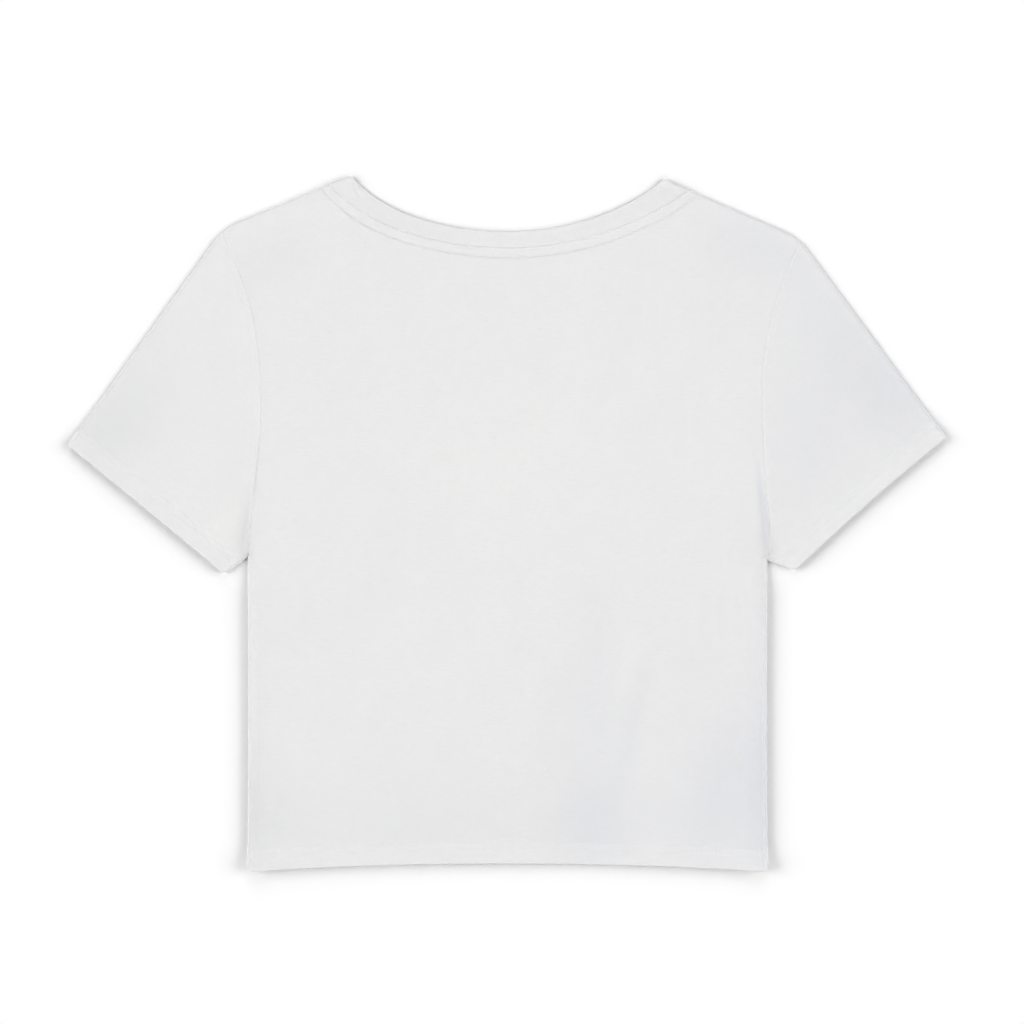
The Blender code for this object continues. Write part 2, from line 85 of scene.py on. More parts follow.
# ---------------------------------------------------------------- how it lies
FOLD_RADIUS = 2.3 * MM      # distance over which the folds turn at the silhouette
FOLD_SQUARE = 2.3           # how squarely they turn: 2 would be a round fold
TOP_FOLD = 2.1 * MM         # height of the folds along the shoulders and the sleeves
END_FOLD = 3.0 * MM         # and at their ends, where the neckband and the cuffs are thick
THICK_REACH = 26.0 * MM     # this far up from a cuff they are half way back to the first height
THICK_NECK = 237.0 * MM     # and above this height they thicken towards the neckband
THICK_NECK_RUN = 10.0 * MM  # over this distance
SIDE_FOLD = 5.3 * MM        # height of the folds at the sides of the body, which spring up
SIDE_LIFT = 1.7 * MM        # and how far they lift the cloth below off the surface
LIFT_REACH = 6.0 * MM       # how far in from the fold it stays lifted
FOLD_CHANGE = (-26.0 * MM, -56.0 * MM)  # the folds grow from top to side ones between these heights
EDGE_LIFT = 1.6 * MM        # the hem and the cuffs curl up by this much
EDGE_REACH = 9.0 * MM       # over this distance
CORNER_LIFT = 0.8           # and the hem's corners by this share more
CUFF_START = 10.0 * MM      # a cuff starts to curl this far out from the body's side
LAY_LEVEL = 3.3 * MM        # upper face of the back where two layers lie still
CROWN_REACH = 15.0 * MM     # how far in from a fold the cloth stays lifted by it
CREASE_CLEAR = 12.0 * MM    # creases and droops die away this close to a fold
DIP_CLEAR = 2.0 * MM        # the dips at the armpits die away this close to a fold
NECK_DROOP = 1.7 * MM       # the back sinks by this to its neckband, where no front lies under it
DROOP_RUN = 7.0 * MM        # it sinks over no less than this
DROOP_CLEAR = 6.0 * MM      # and less this close to the shoulder's fold

# ---------------------------------------------------------------- the cut
CHEST_HALF = 192.4 * MM     # half the width of the body, from the side to the middle
WAIST_IN = 0.7 * MM         # the sides are drawn in by this half way down
HEM_MIDDLE = -251.2 * MM    # height of the hem in the middle, from the middle of the plan
HEM_ARCH = 6.0 * MM         # the hem hangs this much lower at the sides
HEM_ARCH_POWER = 2.2
CORNER = 4.5 * MM           # rounding of the hem's corners
CUFF_CORNER = 2.5 * MM      # rounding of the cuffs' corners
NECK_MIDDLE = 1.5 * MM      # the neck's lowest points lie this far right of the middle
BACK_EDGE = 216.1 * MM      # free edge of the neckband at the middle of the back
BACK_SEAM = 204.2 * MM      # seam of the neckband at the middle of the back
FRONT_EDGE = 165.0 * MM     # free edge of the neckband at the middle of the front
FRONT_SEAM = 152.4 * MM     # seam of the neckband at the middle of the front
FRONT_BOW = 0.62            # the share of a plain parabola in the front neck
BAND_BEND = 12.0 * MM       # the neckband's ends turn into the shoulder fold over this

# One row for each side. Points are plan places in millimetres, and the fold along
# the shoulder and the sleeve's top is given by its corners, with their rounding.
# edge_bow and seam_bow say how much of the neck curve is a plain parabola, and
# cuff_bow how far the cuff is drawn in half way along.
Side = namedtuple("Side", "sign fold root armhole underarm cuff_inner cuff_bow edge_bow seam_bow")
LEFT = Side(
    sign=-1,
    fold=(("neck tip", -116.2, 257.5, 0), ("shoulder", -210.1, 219.3, 50), ("cuff", -325.4, 58.5, 0)),
    root=16.9, armhole=104.2, underarm=(-192.4, -24.3), cuff_inner=(-209.7, -36.9),
    cuff_bow=0.2, edge_bow=0.71, seam_bow=0.71)
RIGHT = Side(
    sign=1,
    fold=(("neck tip", 116.9, 255.7, 0), ("band bend", 122.0, 252.3, 0),
          ("shoulder", 215.0, 212.4, 50), ("cuff", 324.6, 64.0, 0)),
    root=20.0, armhole=110.2, underarm=(192.4, -26.9), cuff_inner=(212.8, -34.2),
    cuff_bow=1.8, edge_bow=0.88, seam_bow=0.95)
SIDES = (LEFT, RIGHT)

# Armhole seam: share of its height from the underarm to the shoulder fold, and how
# far in from the side of the body it lies there, in millimetres.
Armhole = namedtuple("Armhole", "share left_in right_in")
ARMHOLE = (
    Armhole(0.00, 0.0, 0.0),
    Armhole(0.09, 2.2, -1.9),
    Armhole(0.24, 6.2, 1.2),
    Armhole(0.44, 10.0, 3.6),
    Armhole(0.58, 9.0, 3.4),
    Armhole(0.70, 6.2, 0.4),
    Armhole(0.85, -3.6, -9.0),
)

# Soft troughs and ridges of the upper layer, in millimetres: middle, length,
# direction (degrees from +X), width to where it is a third as high, height.
Crease = namedtuple("Crease", "name x y length direction width height")
CREASES = (
    Crease("long trough right of the middle", 66, -140, 250, 89, 17, -0.75),
    Crease("ridge beside it", 84, -118, 150, 86, 10, 0.45),
    Crease("short trough beside the ridge", 98, -136, 130, 83, 11, -0.50),
    Crease("spread of the trough at the hem", 62, -224, 90, 90, 30, -0.35),
    Crease("broad slant trough on the left", -110, -70, 190, 53, 26, -0.70),
    Crease("swell above it", -78, 20, 150, 40, 34, 0.45),
    Crease("hollow at the lower right", 166, -180, 170, 84, 24, -0.50),
    Crease("drag from the right underarm", 150, -50, 110, 128, 16, 0.40),
    Crease("hollow of the left sleeve", -272, 84, 120, 48, 24, -0.60),
    Crease("swell of the left sleeve", -214, 40, 110, 60, 20, 0.50),
    Crease("hollow of the right sleeve", 278, 92, 120, 132, 22, -0.60),
    Crease("swell of the right sleeve", 222, 60, 120, 112, 18, 0.45),
)

CREASE_DEPTH = 1.6          # the shell's creases are this much deeper than the solid's

# Finer lines between the large ones, in the same columns.
FINE_CREASES = (
    Crease("line in the long trough", 69, -120, 180, 88, 5, -0.22),
    Crease("line beside it at the hem", 80, -190, 90, 96, 4, -0.20),
    Crease("line on the right", 168, -60, 90, 84, 4, -0.22),
    Crease("second line on the right", 160, -150, 110, 88, 6, -0.20),
    Crease("line down from the slant trough", -126, -150, 120, 66, 8, -0.22),
    Crease("line across the left chest", -96, 88, 130, 24, 9, 0.16),
    Crease("line across the right chest", 92, 70, 120, 158, 8, -0.14),
    Crease("line at the left shoulder", -168, 196, 60, 150, 5, -0.16),
    Crease("line at the right shoulder", 160, 190, 70, 24, 6, -0.18),
    Crease("line in the left sleeve", -252, 92, 90, 58, 6, -0.20),
    Crease("line in the right sleeve", 262, 110, 110, 124, 6, -0.22),
    Crease("line beside the right cuff", 296, 68, 60, 142, 7, -0.18),
)

# Where the cloth dips beside the armhole seam at each armpit, close to the folds.
DIPS = (
    Crease("sleeve tucks under on the left", -195, -4, 84, 82, 3.6, -0.80),
    Crease("body tucks under on the right", 190, -2, 90, 97, 2.8, -0.85),
)

# Where the layer below is drawn up a little off the surface, in the same columns.
UNDER_CREASES = (
    Crease("long hollow left of the middle", -58, -120, 220, 91, 12, 0.30),
    Crease("short hollow beside it", -84, -60, 120, 84, 8, 0.20),
    Crease("slant hollow on the right", 104, 10, 180, 124, 14, 0.28),
    Crease("hollow at the chest", 10, 60, 150, 12, 12, 0.22),
    Crease("hollow at the hem", 128, -206, 90, 78, 10, 0.24),
)

# Painted shade on the upper layer: its colour is darker in these patches, over troughs,
# sides, corners and armpits. The height is how strongly, and below 0 it is lighter, a painted highlight.
PAINTED_SHADE_PATCHES = (
    Crease("long trough", 66, -128, 270, 90, 18, 0.50),
    Crease("left of the long trough", 36, -140, 150, 88, 18, 0.28),
    Crease("foot of the long trough", 62, -226, 130, 88, 34, 0.80),
    Crease("trough beside the ridge", 92, -150, 135, 79, 9, 0.55),
    Crease("ridge", 89, -113, 110, 87, 8, -0.30),
    Crease("slant trough", -104, -60, 230, 62, 16, 0.16),
    Crease("patch at the left", -156, -88, 80, 60, 22, 0.12),
    Crease("lower left corner", -172, -218, 90, 30, 30, 0.45),
    Crease("lower part", -60, -228, 640, 0, 44, 0.50),
    Crease("lower right side", 166, -176, 210, 84, 22, 0.50),
    Crease("lower right corner", 158, -214, 190, 78, 34, 0.60),
    Crease("right part", 128, -130, 320, 90, 40, 0.20),
    Crease("along the right side", 186, -196, 330, 90, 10, 1.10),
    Crease("along the left side", -188, -206, 170, 90, 6, 0.75),
    Crease("waist", -50, -166, 320, 0, 34, 0.12),
    Crease("above the hem", -56, -222, 130, 2, 16, 0.20),
    Crease("line on the right", 146, -64, 90, 86, 4, 0.25),
    Crease("second line on the right", 158, -72, 80, 92, 3, 0.20),
    Crease("right side by the armpit", 189, -42, 160, 90, 6, 0.75),
    Crease("beside it", 172, -40, 160, 88, 14, 0.16),
    Crease("left sleeve", -280, 78, 130, 40, 32, 0.62),
    Crease("tip of the left sleeve", -300, 66, 90, 50, 24, 0.55),
    Crease("top of the left sleeve", -266, 126, 160, 55, 22, 0.30),
    Crease("right sleeve", 258, 128, 230, 128, 30, 0.72),
    Crease("tip of the right sleeve", 292, 88, 120, 120, 34, 0.65),
    Crease("right sleeve by its seam", 224, 60, 240, 84, 36, 0.60),
    Crease("right shoulder", 184, 206, 130, 155, 24, 0.70),
    Crease("right yoke", 148, 172, 190, 130, 34, 0.16),
    Crease("left shoulder", -180, 198, 120, 28, 22, 0.38),
    Crease("light patch by the left cuff", -214, -8, 90, 60, 13, -0.30),
    Crease("middle of the chest", 0, 50, 260, 12, 66, -0.22),
    Crease("left armpit", -193.4, -5, 92, 85, 3.4, 1.40),
    Crease("foot of the left armpit", -194.6, -16, 60, 90, 4.6, 1.30),
    Crease("top of the left armpit", -186.4, 34, 50, 84.3, 1.1, 1.10),
    Crease("right armpit", 190.6, 2, 122, 98, 2.4, 2.00),
    Crease("foot of the right armpit", 193.6, -16, 60, 100, 4.4, 1.50),
)

# ---------------------------------------------------------------- sewing
SEAM_ROOM = 0.02 * MM       # room between two pieces at a seam
SEAM_DIP = 0.07 * MM        # how far the cloth turns in at a seam
NECK_DIP = 0.26 * MM        # and at the neckband's seam
SEAM_EASE = 0.45 * MM       # over this distance
SEAM_RIDGE = 0.14 * MM      # the sleeves and the neckband stand up by this beside their seams
RIDGE_PLACE = 1.3 * MM      # this far from the seam
RIDGE_WIDE = 0.9 * MM       # half the ridge's width
RIDGE_PAINTED_HIGHLIGHT = 0.30          # painted highlight: the sleeves are coloured lighter there, by this share of the painted shade
FOLD_PAINTED_SHADE = (1.8, 1.3)      # painted shade: the left and the right folds are coloured darker, by this share of the painted shade
FOLD_PAINTED_SHADE_WIDE = 1.3 * MM   # this far in from them
ARMPIT_WIDE = 22.0 * MM     # but less this close to the underarms
BAND_EDGE_PAINTED_SHADE = 0.15            # painted shade: the neckband's free edge is coloured darker, by this share of the painted shade
BAND_EDGE_PAINTED_SHADE_WIDE = 0.9 * MM   # this far in from it
COOL_FROM = 20.0 * MM       # the painted shade is cooler in colour right of this place
COOL_RUN = 50.0 * MM        # full after this distance
COOL_LEAST = 0.25           # and left of it it has this share of the cool colour
WARM_UNDERARM = 0.8         # the underarms have less of it, by this share
ALLOWANCE = 5.6 * MM        # width of a seam's turned-in edges, which show as a soft step
ALLOWANCE_RISE = 0.16 * MM  # height of that step
ALLOWANCE_STEP = 1.6 * MM   # it falls over this distance
ALLOWANCE_START = 3.0 * MM  # and starts this far above the hem's edge
HEM_RISE = 0.25 * MM        # a hem stands this much above the panel it ends
HEM_STEP = 1.0 * MM         # over this distance past its turned-in edge
NEEDLE_LOW = 10.2 * MM      # lower needle row of a hem, from its edge
NEEDLE_HIGH = 14.2 * MM     # upper needle row
NEEDLE_DIP = 0.13 * MM      # depth of the furrow that a row of stitches pulls
NEEDLE_WIDE = 0.6 * MM      # half its width
TOPSTITCH = 7.3 * MM        # row below the neckband's seam, from that seam
ROLL_RUN = 30.0 * MM        # the side seams roll to the back over this, from the underarm
BAND_SWELL = 0.3 * MM       # the neckband stands up by this along its middle, on the back
BAND_THIN = 0.6 * MM        # and is this much thinner at its edges

PUCKER_RISE = 0.13 * MM     # height of the puckers that sewing draws up
PUCKER_LONG = 6.3 * MM      # length of one, along its row
PUCKER_DRIFT = 47.0 * MM    # over about this length they grow and fade
HEM_PUCKERS = 7.0 * MM      # how far they reach from a hem's turned-in edge
HEM_CALM = 5.0 * MM         # they are lower this close to the hem's own edge
ARMHOLE_PUCKERS = 6.0 * MM  # how far they reach from an armhole seam
TOPSTITCH_PUCKERS = 4.0 * MM    # from the row below the neckband
BAND_PUCKERS = 5.0 * MM     # and from the neckband's seam
NECK_PUCKERED = 0.5         # share of the height that the last two have
BODY_SEED = 1.0             # seeds of their unevenness
ARMHOLE_SEED = 3.0
TOPSTITCH_SEED = 5.0
CUFF_SEED = 6.0
BAND_SEED = 8.0
STITCH_SPAN = 0.92          # share of a stitch's length that its thread spans
STITCH_FLAT = 0.30          # the thread dips in past this share of the length from its middle
STITCH_DIP = 0.55           # by this share of its thickness
STITCH_PROUD = 0.12 * MM    # its middle is this far out of the back's face, the furrow left aside
STITCH_TURN_PROUD = 0.05 * MM   # and this far out where a row turns round a fold
SWAY = 0.05                 # stitches slant to their row by up to this slope
SWAY_RATE = 7.7             # which follows a sine, with this angle from one to the next

# ---------------------------------------------------------------- the cloth's face
# Noise in the cloth, in bumps a millimetre: streaks have one rate across and one up.
LONG_STREAKS = (0.10, 0.70)
SHORT_STREAKS = (0.26, 1.20)
DASHES = (0.15, 1.0)
LINT_RATE = 2.6
RUMPLE_RATE = 0.11
MOTTLE_RATE = 0.028
JERSEY_DRIFT = (0.09, 1.6)  # how the columns of loops wander: bumps a millimetre, millimetres
RIB_DRIFT = (0.12, 0.8)     # and the ribs
SLUB_RANGE = (0.38, 0.66)   # noise at which the yarn is thin, and at which it is thick
DASH_RANGE = (0.60, 0.70)   # noise at which a dash starts, and at which it is full
LOOP_LEAN = 0.55            # how far a loop's legs lean, as a share of its height
LOOP_LEGS = 0.55            # share of the knit's relief that is in its columns
TWIST_RATES = (2.4, 3.0)    # turns of the thread's twist a millimetre, along it and beside it
FIBRE_RATE = 900.0          # bumps a metre in the floor

# Relief of each part, in millimetres.
LOOP_RELIEF = 0.06
SLUB_RELIEF = 0.03
RUMPLE_RELIEF = 0.18
LINT_RELIEF = 0.02
RIB_RELIEF = 0.06
RIB_LOOP_RELIEF = 0.05
RIB_LINT_RELIEF = 0.03
TWIST_RELIEF = 0.04
FIBRE_RELIEF = 0.002

# How strongly each part shows in the colour.
SLUB_TONE = 0.20
DASH_TONE = 0.24
MOTTLE_TONE = 0.28
LINT_TONE = 0.09
EVEN_TONE = -0.02           # the same all over
# painted shade: how strongly the shade notes show in the colour
PAINTED_SHADE_TONE = 0.5
PAINTED_SHADE_BASE = 0.15          # share of the painted shade's colour all over the jersey, cooler on the right
DOUBLED_TONE = 0.3
# painted shade: the rib's grooves are coloured darker
RIB_GROOVE_PAINTED_SHADE = 0.18
RIB_SLUB_TONE = 0.14
# painted shade: the thread is coloured darker in the grooves of its twist
TWIST_PAINTED_SHADE = 0.25
FIBRE_TONE = 0.02

# Roughness of each material, how much its unevenness adds, and its sheen.
CLOTH_FINISH = (0.82, 0.14, 0.12)
THREAD_FINISH = (0.55, 0.20, 0.05)
FLOOR_FINISH = (0.90, 0.05, 0.0)
SPECULAR = 0.25
SHEEN_ROUGHNESS = 0.45

# ---------------------------------------------------------------- stage
FLOOR_SIZE = 80.0
FLOOR_DROP = 0.1 * MM       # the floor is this far below the cloth
VIEW_MIDDLE = (3.3 * MM, 8.9 * MM, 0.0)     # plan place in the middle of the view
FAR_CLIP = 200.0

# Soft lamps round the garment: direction they shine from (degrees from +X) and share
# of the light on the open floor.
Lamp = namedtuple("Lamp", "name turn share")
LAMPS = (
    Lamp("right_lamp", 5, 0.19),
    Lamp("head_lamp", 90, 0.08),
    Lamp("left_lamp", 175, 0.21),
    Lamp("lower_left_lamp", 235, 0.06),
    Lamp("lower_right_lamp", 305, 0.06),
)

# ---------------------------------------------------------------- meshes
# Steps in from an edge, in millimetres, where the mesh has to be close.
EDGE_STEPS = np.array([0, .35, .7, 1.1, 1.5, 2.0, 2.5, 3.1, 3.8, 4.6, 5.3, 6.0, 7.0, 8.5, 10.5, 13]) * MM
HEM_STEPS = np.array([0, .4, .9, 1.7, 3, 5, 7, 8.8, 9.6, 10.2, 10.8, 11.8, 13, 13.7, 14.2, 14.7,
                      15.2, 15.7, 16.3, 17.3, 19, 21.2]) * MM
TOP_STEPS = np.array([0, .012, .05, .13, .27, .48, .8, 1.2, 1.7, 2.3, 3.1, 4.1, 5.2, 6.2, 6.8, 7.3, 7.8,
                      8.6, 10.2, 12.4]) * MM
NECK_STEPS = np.array([0.12, 0.3, 0.6, 1.0, 1.6, 2.4, 3.5, 5.0]) * MM
STEP_CHANGE = 12.0 * MM     # the sides' steps change to the armholes' over this height
MIDDLE_ROOM = 3.0 * MM      # room that close steps leave for even ones
BODY_ROWS = 80
YOKE_ROWS = 76
SHOULDER_COLUMNS = 26
NECK_COLUMNS = 78
SLEEVE_ROWS = 46
SLEEVE_COLUMNS = 74
BAND_STATIONS = 190
BAND_ACROSS = 16
ROUNDING = 4                # steps round a turned edge
FINE = 400                  # points of a seam's path before it is sampled
CORNER_POINTS = 17          # points of a rounded corner of a fold
SIDE_POINTS = 13            # points of a side's fold
BODY_GRAIN = 0.37           # the back's grain is moved by this, in metres, and the front's back
SLEEVE_GRAIN = 0.61         # and so are the two sides of a sleeve
BAND_GRAIN = 0.2            # and of the neckband, so that no two have the same yarn


# ---------------------------------------------------------------- what a user may change
class ShirtSizes(bpy.types.PropertyGroup):
    """Sizes of the cloth and of its sewing."""

    cloth: FloatProperty(
        name="Cloth", description="Thickness of one layer of jersey",
        default=0.7 * MM, unit="LENGTH", precision=5)
    hem_cloth: FloatProperty(
        name="Hem", description="Thickness of a turned-up hem, two layers of jersey",
        default=1.35 * MM, unit="LENGTH", precision=5)
    band_cloth: FloatProperty(
        name="Neckband", description="Thickness of the folded neckband",
        default=1.3 * MM, unit="LENGTH", precision=5)
    hem_depth: FloatProperty(
        name="Hem depth", description="Depth of the turned-up hems of the body and the sleeves",
        default=15.0 * MM, unit="LENGTH", precision=5)
    side_roll: FloatProperty(
        name="Side roll", description="How far the side seams are rolled from the fold to the back",
        default=4.2 * MM, unit="LENGTH", precision=5)
    stitch: FloatProperty(
        name="Stitch", description="Length of one stitch from needle hole to needle hole",
        default=2.7 * MM, unit="LENGTH", precision=5)
    thread: FloatProperty(
        name="Thread", description="Thickness of the sewing thread",
        default=0.34 * MM, unit="LENGTH", precision=5)
    wale: FloatProperty(
        name="Wale", description="Width of one column of knitted loops",
        default=0.66 * MM, unit="LENGTH", precision=5)
    course: FloatProperty(
        name="Course", description="Height of one row of knitted loops",
        default=0.52 * MM, unit="LENGTH", precision=5)
    rib: FloatProperty(
        name="Rib", description="Width of one rib of the neckband",
        default=1.15 * MM, unit="LENGTH", precision=5)


class ShirtColours(bpy.types.PropertyGroup):
    """Colours of the cloth and the thread."""

    jersey: FloatVectorProperty(
        name="Jersey", description="Colour of one layer of jersey",
        subtype="COLOR", size=3, min=0.0, max=1.0, default=(0.8618, 0.8604, 0.8594))
    doubled: FloatVectorProperty(
        name="Doubled jersey", description="Colour of a hem, where two layers let less light through",
        subtype="COLOR", size=3, min=0.0, max=1.0, default=(0.854, 0.854, 0.854))
    # also the darker colour of the painted shade in the rib's grooves and the thread's twist
    slub: FloatVectorProperty(
        name="Slub", description="Colour of the thin places between the thick ones of the yarn",
        subtype="COLOR", size=3, min=0.0, max=1.0, default=(0.815, 0.8135, 0.812))
    # painted shade: colour that the jersey and the rib are mixed towards where shade is painted
    hollow: FloatVectorProperty(
        name="Hollow", description="Colour where the cloth hangs clear of the layer below",
        subtype="COLOR", size=3, min=0.0, max=1.0, default=(0.803, 0.804, 0.807))
    # painted shade in a cooler colour, for the garment's right side
    cool: FloatVectorProperty(
        name="Cool hollow",
        description="The same on the garment's right side, which is in a cooler shade",
        subtype="COLOR", size=3, min=0.0, max=1.0, default=(0.7985, 0.8005, 0.820))
    rib: FloatVectorProperty(
        name="Rib", description="Colour of the neckband",
        subtype="COLOR", size=3, min=0.0, max=1.0, default=(0.858, 0.858, 0.858))
    thread: FloatVectorProperty(
        name="Thread", description="Colour of the sewing thread",
        subtype="COLOR", size=3, min=0.0, max=1.0, default=(0.88, 0.88, 0.88))


class StageSettings(bpy.types.PropertyGroup):
    """Floor, light and camera."""

    floor: FloatVectorProperty(
        name="Floor", description="Colour of the floor",
        subtype="COLOR", size=3, min=0.0, max=1.0, default=(0.93, 0.93, 0.93))
    brightness: FloatProperty(
        name="Brightness", description="How bright the open floor looks, 1 being white",
        default=1.008, min=0.0)
    rise: FloatProperty(
        name="Rise", description="Height of the soft lamps above the floor, as an angle",
        default=math.radians(26.0), unit="ROTATION")
    softness: FloatProperty(
        name="Softness", description="Width of each soft lamp, as an angle",
        default=math.radians(46.0), unit="ROTATION")
    contrast: FloatProperty(
        name="Contrast", description="Power that the view's tones are raised to",
        default=1.92, min=0.2)
    field: FloatProperty(
        name="Field", description="Width of the view at the garment",
        default=757.8 * MM, unit="LENGTH")
    lens: FloatProperty(
        name="Lens", description="Focal length of the camera, in millimetres",
        default=120.0, min=20.0)


# ---------------------------------------------------------------- small helpers
def smooth(share):
    """Ease from 0 to 1."""
    share = np.clip(share, 0.0, 1.0)
    return share * share * (3.0 - 2.0 * share)


def bell(distance, width):
    """Soft bump of height 1 that is about a third as high at the width."""
    return np.exp(-(distance / width) ** 2)


def unit(vectors):
    """The same directions at length 1."""
    length = np.linalg.norm(vectors, axis=-1, keepdims=True)
    return vectors / np.maximum(length, 1e-12)


def lerp(start, end, share):
    """Value or point part of the way from start to end."""
    return start + (end - start) * share


def wander(place, seed):
    """Smooth uneven wave, about -1 to 1 high, with about one bump for each unit."""
    total = 0.0
    for rate, size in ((0.37, 0.30), (0.71, 0.42), (1.19, 0.34), (1.93, 0.20)):
        total = total + size * np.sin(2.0 * math.pi * rate * place + seed * (1.7 + 5.3 * rate))
    return total


def curve_through(knots, values, at):
    """Smooth curve through a short table, read at the places in 'at'."""
    knots, values = np.asarray(knots, float), np.asarray(values, float)
    tilt = np.gradient(values, knots)
    i = np.clip(np.searchsorted(knots, at, side="right") - 1, 0, len(knots) - 2)
    gap = knots[i + 1] - knots[i]
    t = np.clip((at - knots[i]) / gap, 0.0, 1.0)
    start = values[i] * (1 + 2 * t) * (1 - t) ** 2 + tilt[i] * gap * t * (1 - t) ** 2
    end = values[i + 1] * t * t * (3 - 2 * t) + tilt[i + 1] * gap * t * t * (t - 1)
    return start + end


def run_of(path):
    """Distance along a path of each of its points."""
    steps = np.linalg.norm(np.diff(path, axis=0), axis=1)
    return np.concatenate([[0.0], np.cumsum(steps)])


def length_of(path):
    """Length of a path of points."""
    return float(run_of(path)[-1])


def to_left(ways):
    """Plan directions turned a quarter to the left."""
    return np.stack([-ways[..., 1], ways[..., 0]], axis=-1)


def read_at(places, run, track):
    """Points or directions at these places, from a track that has one at each distance in 'run'."""
    return np.stack([np.interp(places, run, part) for part in track.T], axis=-1)


def along(path, distances, beside=0.0):
    """Points at distances along a path, or beside it, to its left."""
    run = run_of(path)
    way = unit(np.gradient(path, run, axis=0))
    return read_at(distances, run, path + beside * to_left(way))


def spaced(length, near, far, count):
    """Distances from 0 to length: close steps at both ends, even ones between.

    On a short length the close steps of the near end are drawn together.
    """
    room = length - far[-1] - MIDDLE_ROOM
    near = near * min(1.0, max(room, MM) / max(near[-1], MM))
    middle = np.linspace(near[-1], length - far[-1], count + 2)[1:-1]
    return np.concatenate([near, middle, length - far[::-1]])


def away_from(path, plan, pieces=60):
    """Distance from each plan point to a path."""
    knots = along(path, np.linspace(0.0, length_of(path), pieces + 1))
    starts, run = knots[:-1], np.diff(knots, axis=0)
    flat = plan.reshape(-1, 1, 2)
    share = np.clip(((flat - starts) * run).sum(-1) / (run ** 2).sum(-1), 0.0, 1.0)
    gap = starts + share[..., None] * run - flat
    return np.linalg.norm(gap, axis=-1).min(axis=1).reshape(plan.shape[:-1])


# ---------------------------------------------------------------- outline
def rounded(corners):
    """Path through corners (name, x, y, rounding radius), in metres."""
    points = [np.array([x, y]) * MM for _, x, y, _ in corners]
    path = [points[0]]
    for before, here, after, (_, _, _, radius) in zip(points, points[1:], points[2:], corners[1:]):
        back, on = unit(before - here), unit(after - here)
        half = 0.5 * math.acos(float(np.dot(back, on)))
        reach = radius * MM / math.tan(half)
        if reach == 0.0:
            path.append(here)
            continue
        start, end = here + back * reach, here + on * reach
        for share in np.linspace(0.0, 1.0, CORNER_POINTS):
            path.append(lerp(lerp(start, here, share), lerp(here, end, share), share))
    path.append(points[-1])
    return np.array(path)


def upper_fold(side):
    """Fold along the neckband's end, the shoulder and the top of the sleeve."""
    return rounded(side.fold)


def hem_height(x):
    """Height of the body's hem at x: arched, with rounded corners."""
    out = np.abs(x) / CHEST_HALF
    arch = HEM_MIDDLE - HEM_ARCH * out ** HEM_ARCH_POWER
    past = np.clip((np.abs(x) - CHEST_HALF + CORNER) / CORNER, 0.0, 1.0)
    return arch + CORNER * (1.0 - np.sqrt(1.0 - past ** 2))


def body_half(height, chest):
    """Half the width of the body at a height between the hem and the chest line."""
    share = (chest - height) / (chest - HEM_MIDDLE)
    return CHEST_HALF - WAIST_IN * np.sin(math.pi * np.clip(share, 0.0, 1.0))


def side_fold(side):
    """Fold along the side of the body, from the underarm to the hem."""
    chest = side.underarm[1] * MM
    height = np.linspace(chest, float(hem_height(CHEST_HALF)), SIDE_POINTS)
    return np.stack([side.sign * body_half(height, chest), height], axis=1)


def lower_fold(side):
    """Fold along the underside of the sleeve and the side of the body."""
    return np.concatenate([[np.array(side.cuff_inner) * MM], side_fold(side)])


def fold_segments():
    """Every straight piece of the folds in plan: its start, its end and its way out."""
    starts, ends, outs = [], [], []
    for side in SIDES:
        for path in (upper_fold(side), lower_fold(side)):
            way = unit(np.diff(path, axis=0))
            starts.extend(path[:-1])
            ends.extend(path[1:])
            outs.extend(side.sign * to_left(way))
    return np.array(starts), np.array(ends), np.array(outs)


FOLD_STARTS, FOLD_ENDS, FOLD_OUTS = fold_segments()
ON_FOLD = 0.02 * MM         # nearer than this, a point counts as on the fold


def to_fold(plan):
    """Distance from each plan point to the nearest fold, and the way out to it.

    On a fold the way out is square to it, and in a corner it halves the angle.
    """
    flat = plan.reshape(-1, 1, 2)
    run = FOLD_ENDS - FOLD_STARTS
    share = ((flat - FOLD_STARTS) * run).sum(-1) / (run ** 2).sum(-1)
    gap = FOLD_STARTS + np.clip(share, 0.0, 1.0)[..., None] * run - flat
    distances = np.linalg.norm(gap, axis=-1)
    rows, best = np.arange(len(distances)), distances.argmin(axis=1)
    touching = distances < ON_FOLD
    on_it = touching.any(axis=1)
    distance = np.where(on_it, 0.0, distances[rows, best])
    square = unit(touching.astype(float) @ FOLD_OUTS)
    way = np.where(on_it[:, None], square, unit(gap[rows, best]))
    return distance.reshape(plan.shape[:-1]), way.reshape(plan.shape)


def fold_turn(distance):
    """How far a fold has turned up, 0 to 1, and its slope's two parts, at a plan distance in."""
    out = np.clip(1.0 - distance / FOLD_RADIUS, 0.0, 1.0)
    up = (1.0 - out ** FOLD_SQUARE) ** (1.0 / FOLD_SQUARE)
    sideways, upward = out ** (FOLD_SQUARE - 1.0), up ** (FOLD_SQUARE - 1.0)
    size = np.hypot(sideways, upward)
    return up, sideways / size, upward / size


def fold_table():
    """Plan distances in from a silhouette, and the distances along the cloth to there."""
    angle = np.linspace(0.0, 0.5 * math.pi, FINE)
    distance = FOLD_RADIUS * (1.0 - np.cos(angle) ** (2.0 / FOLD_SQUARE))
    up, _, _ = fold_turn(distance)
    return distance, run_of(np.stack([distance, FOLD_RADIUS * up], axis=1))


FOLD_DISTANCES, FOLD_RUNS = fold_table()


def turned(distance):
    """Distance along the cloth from a fold's silhouette, for a plan distance in from it."""
    run = np.interp(distance, FOLD_DISTANCES, FOLD_RUNS)
    return run + np.maximum(distance - FOLD_RADIUS, 0.0)


def unturned(run):
    """Plan distance in from a fold, for a distance along the cloth from its silhouette."""
    run = np.abs(run)
    return np.interp(run, FOLD_RUNS, FOLD_DISTANCES) + np.maximum(run - FOLD_RUNS[-1], 0.0)


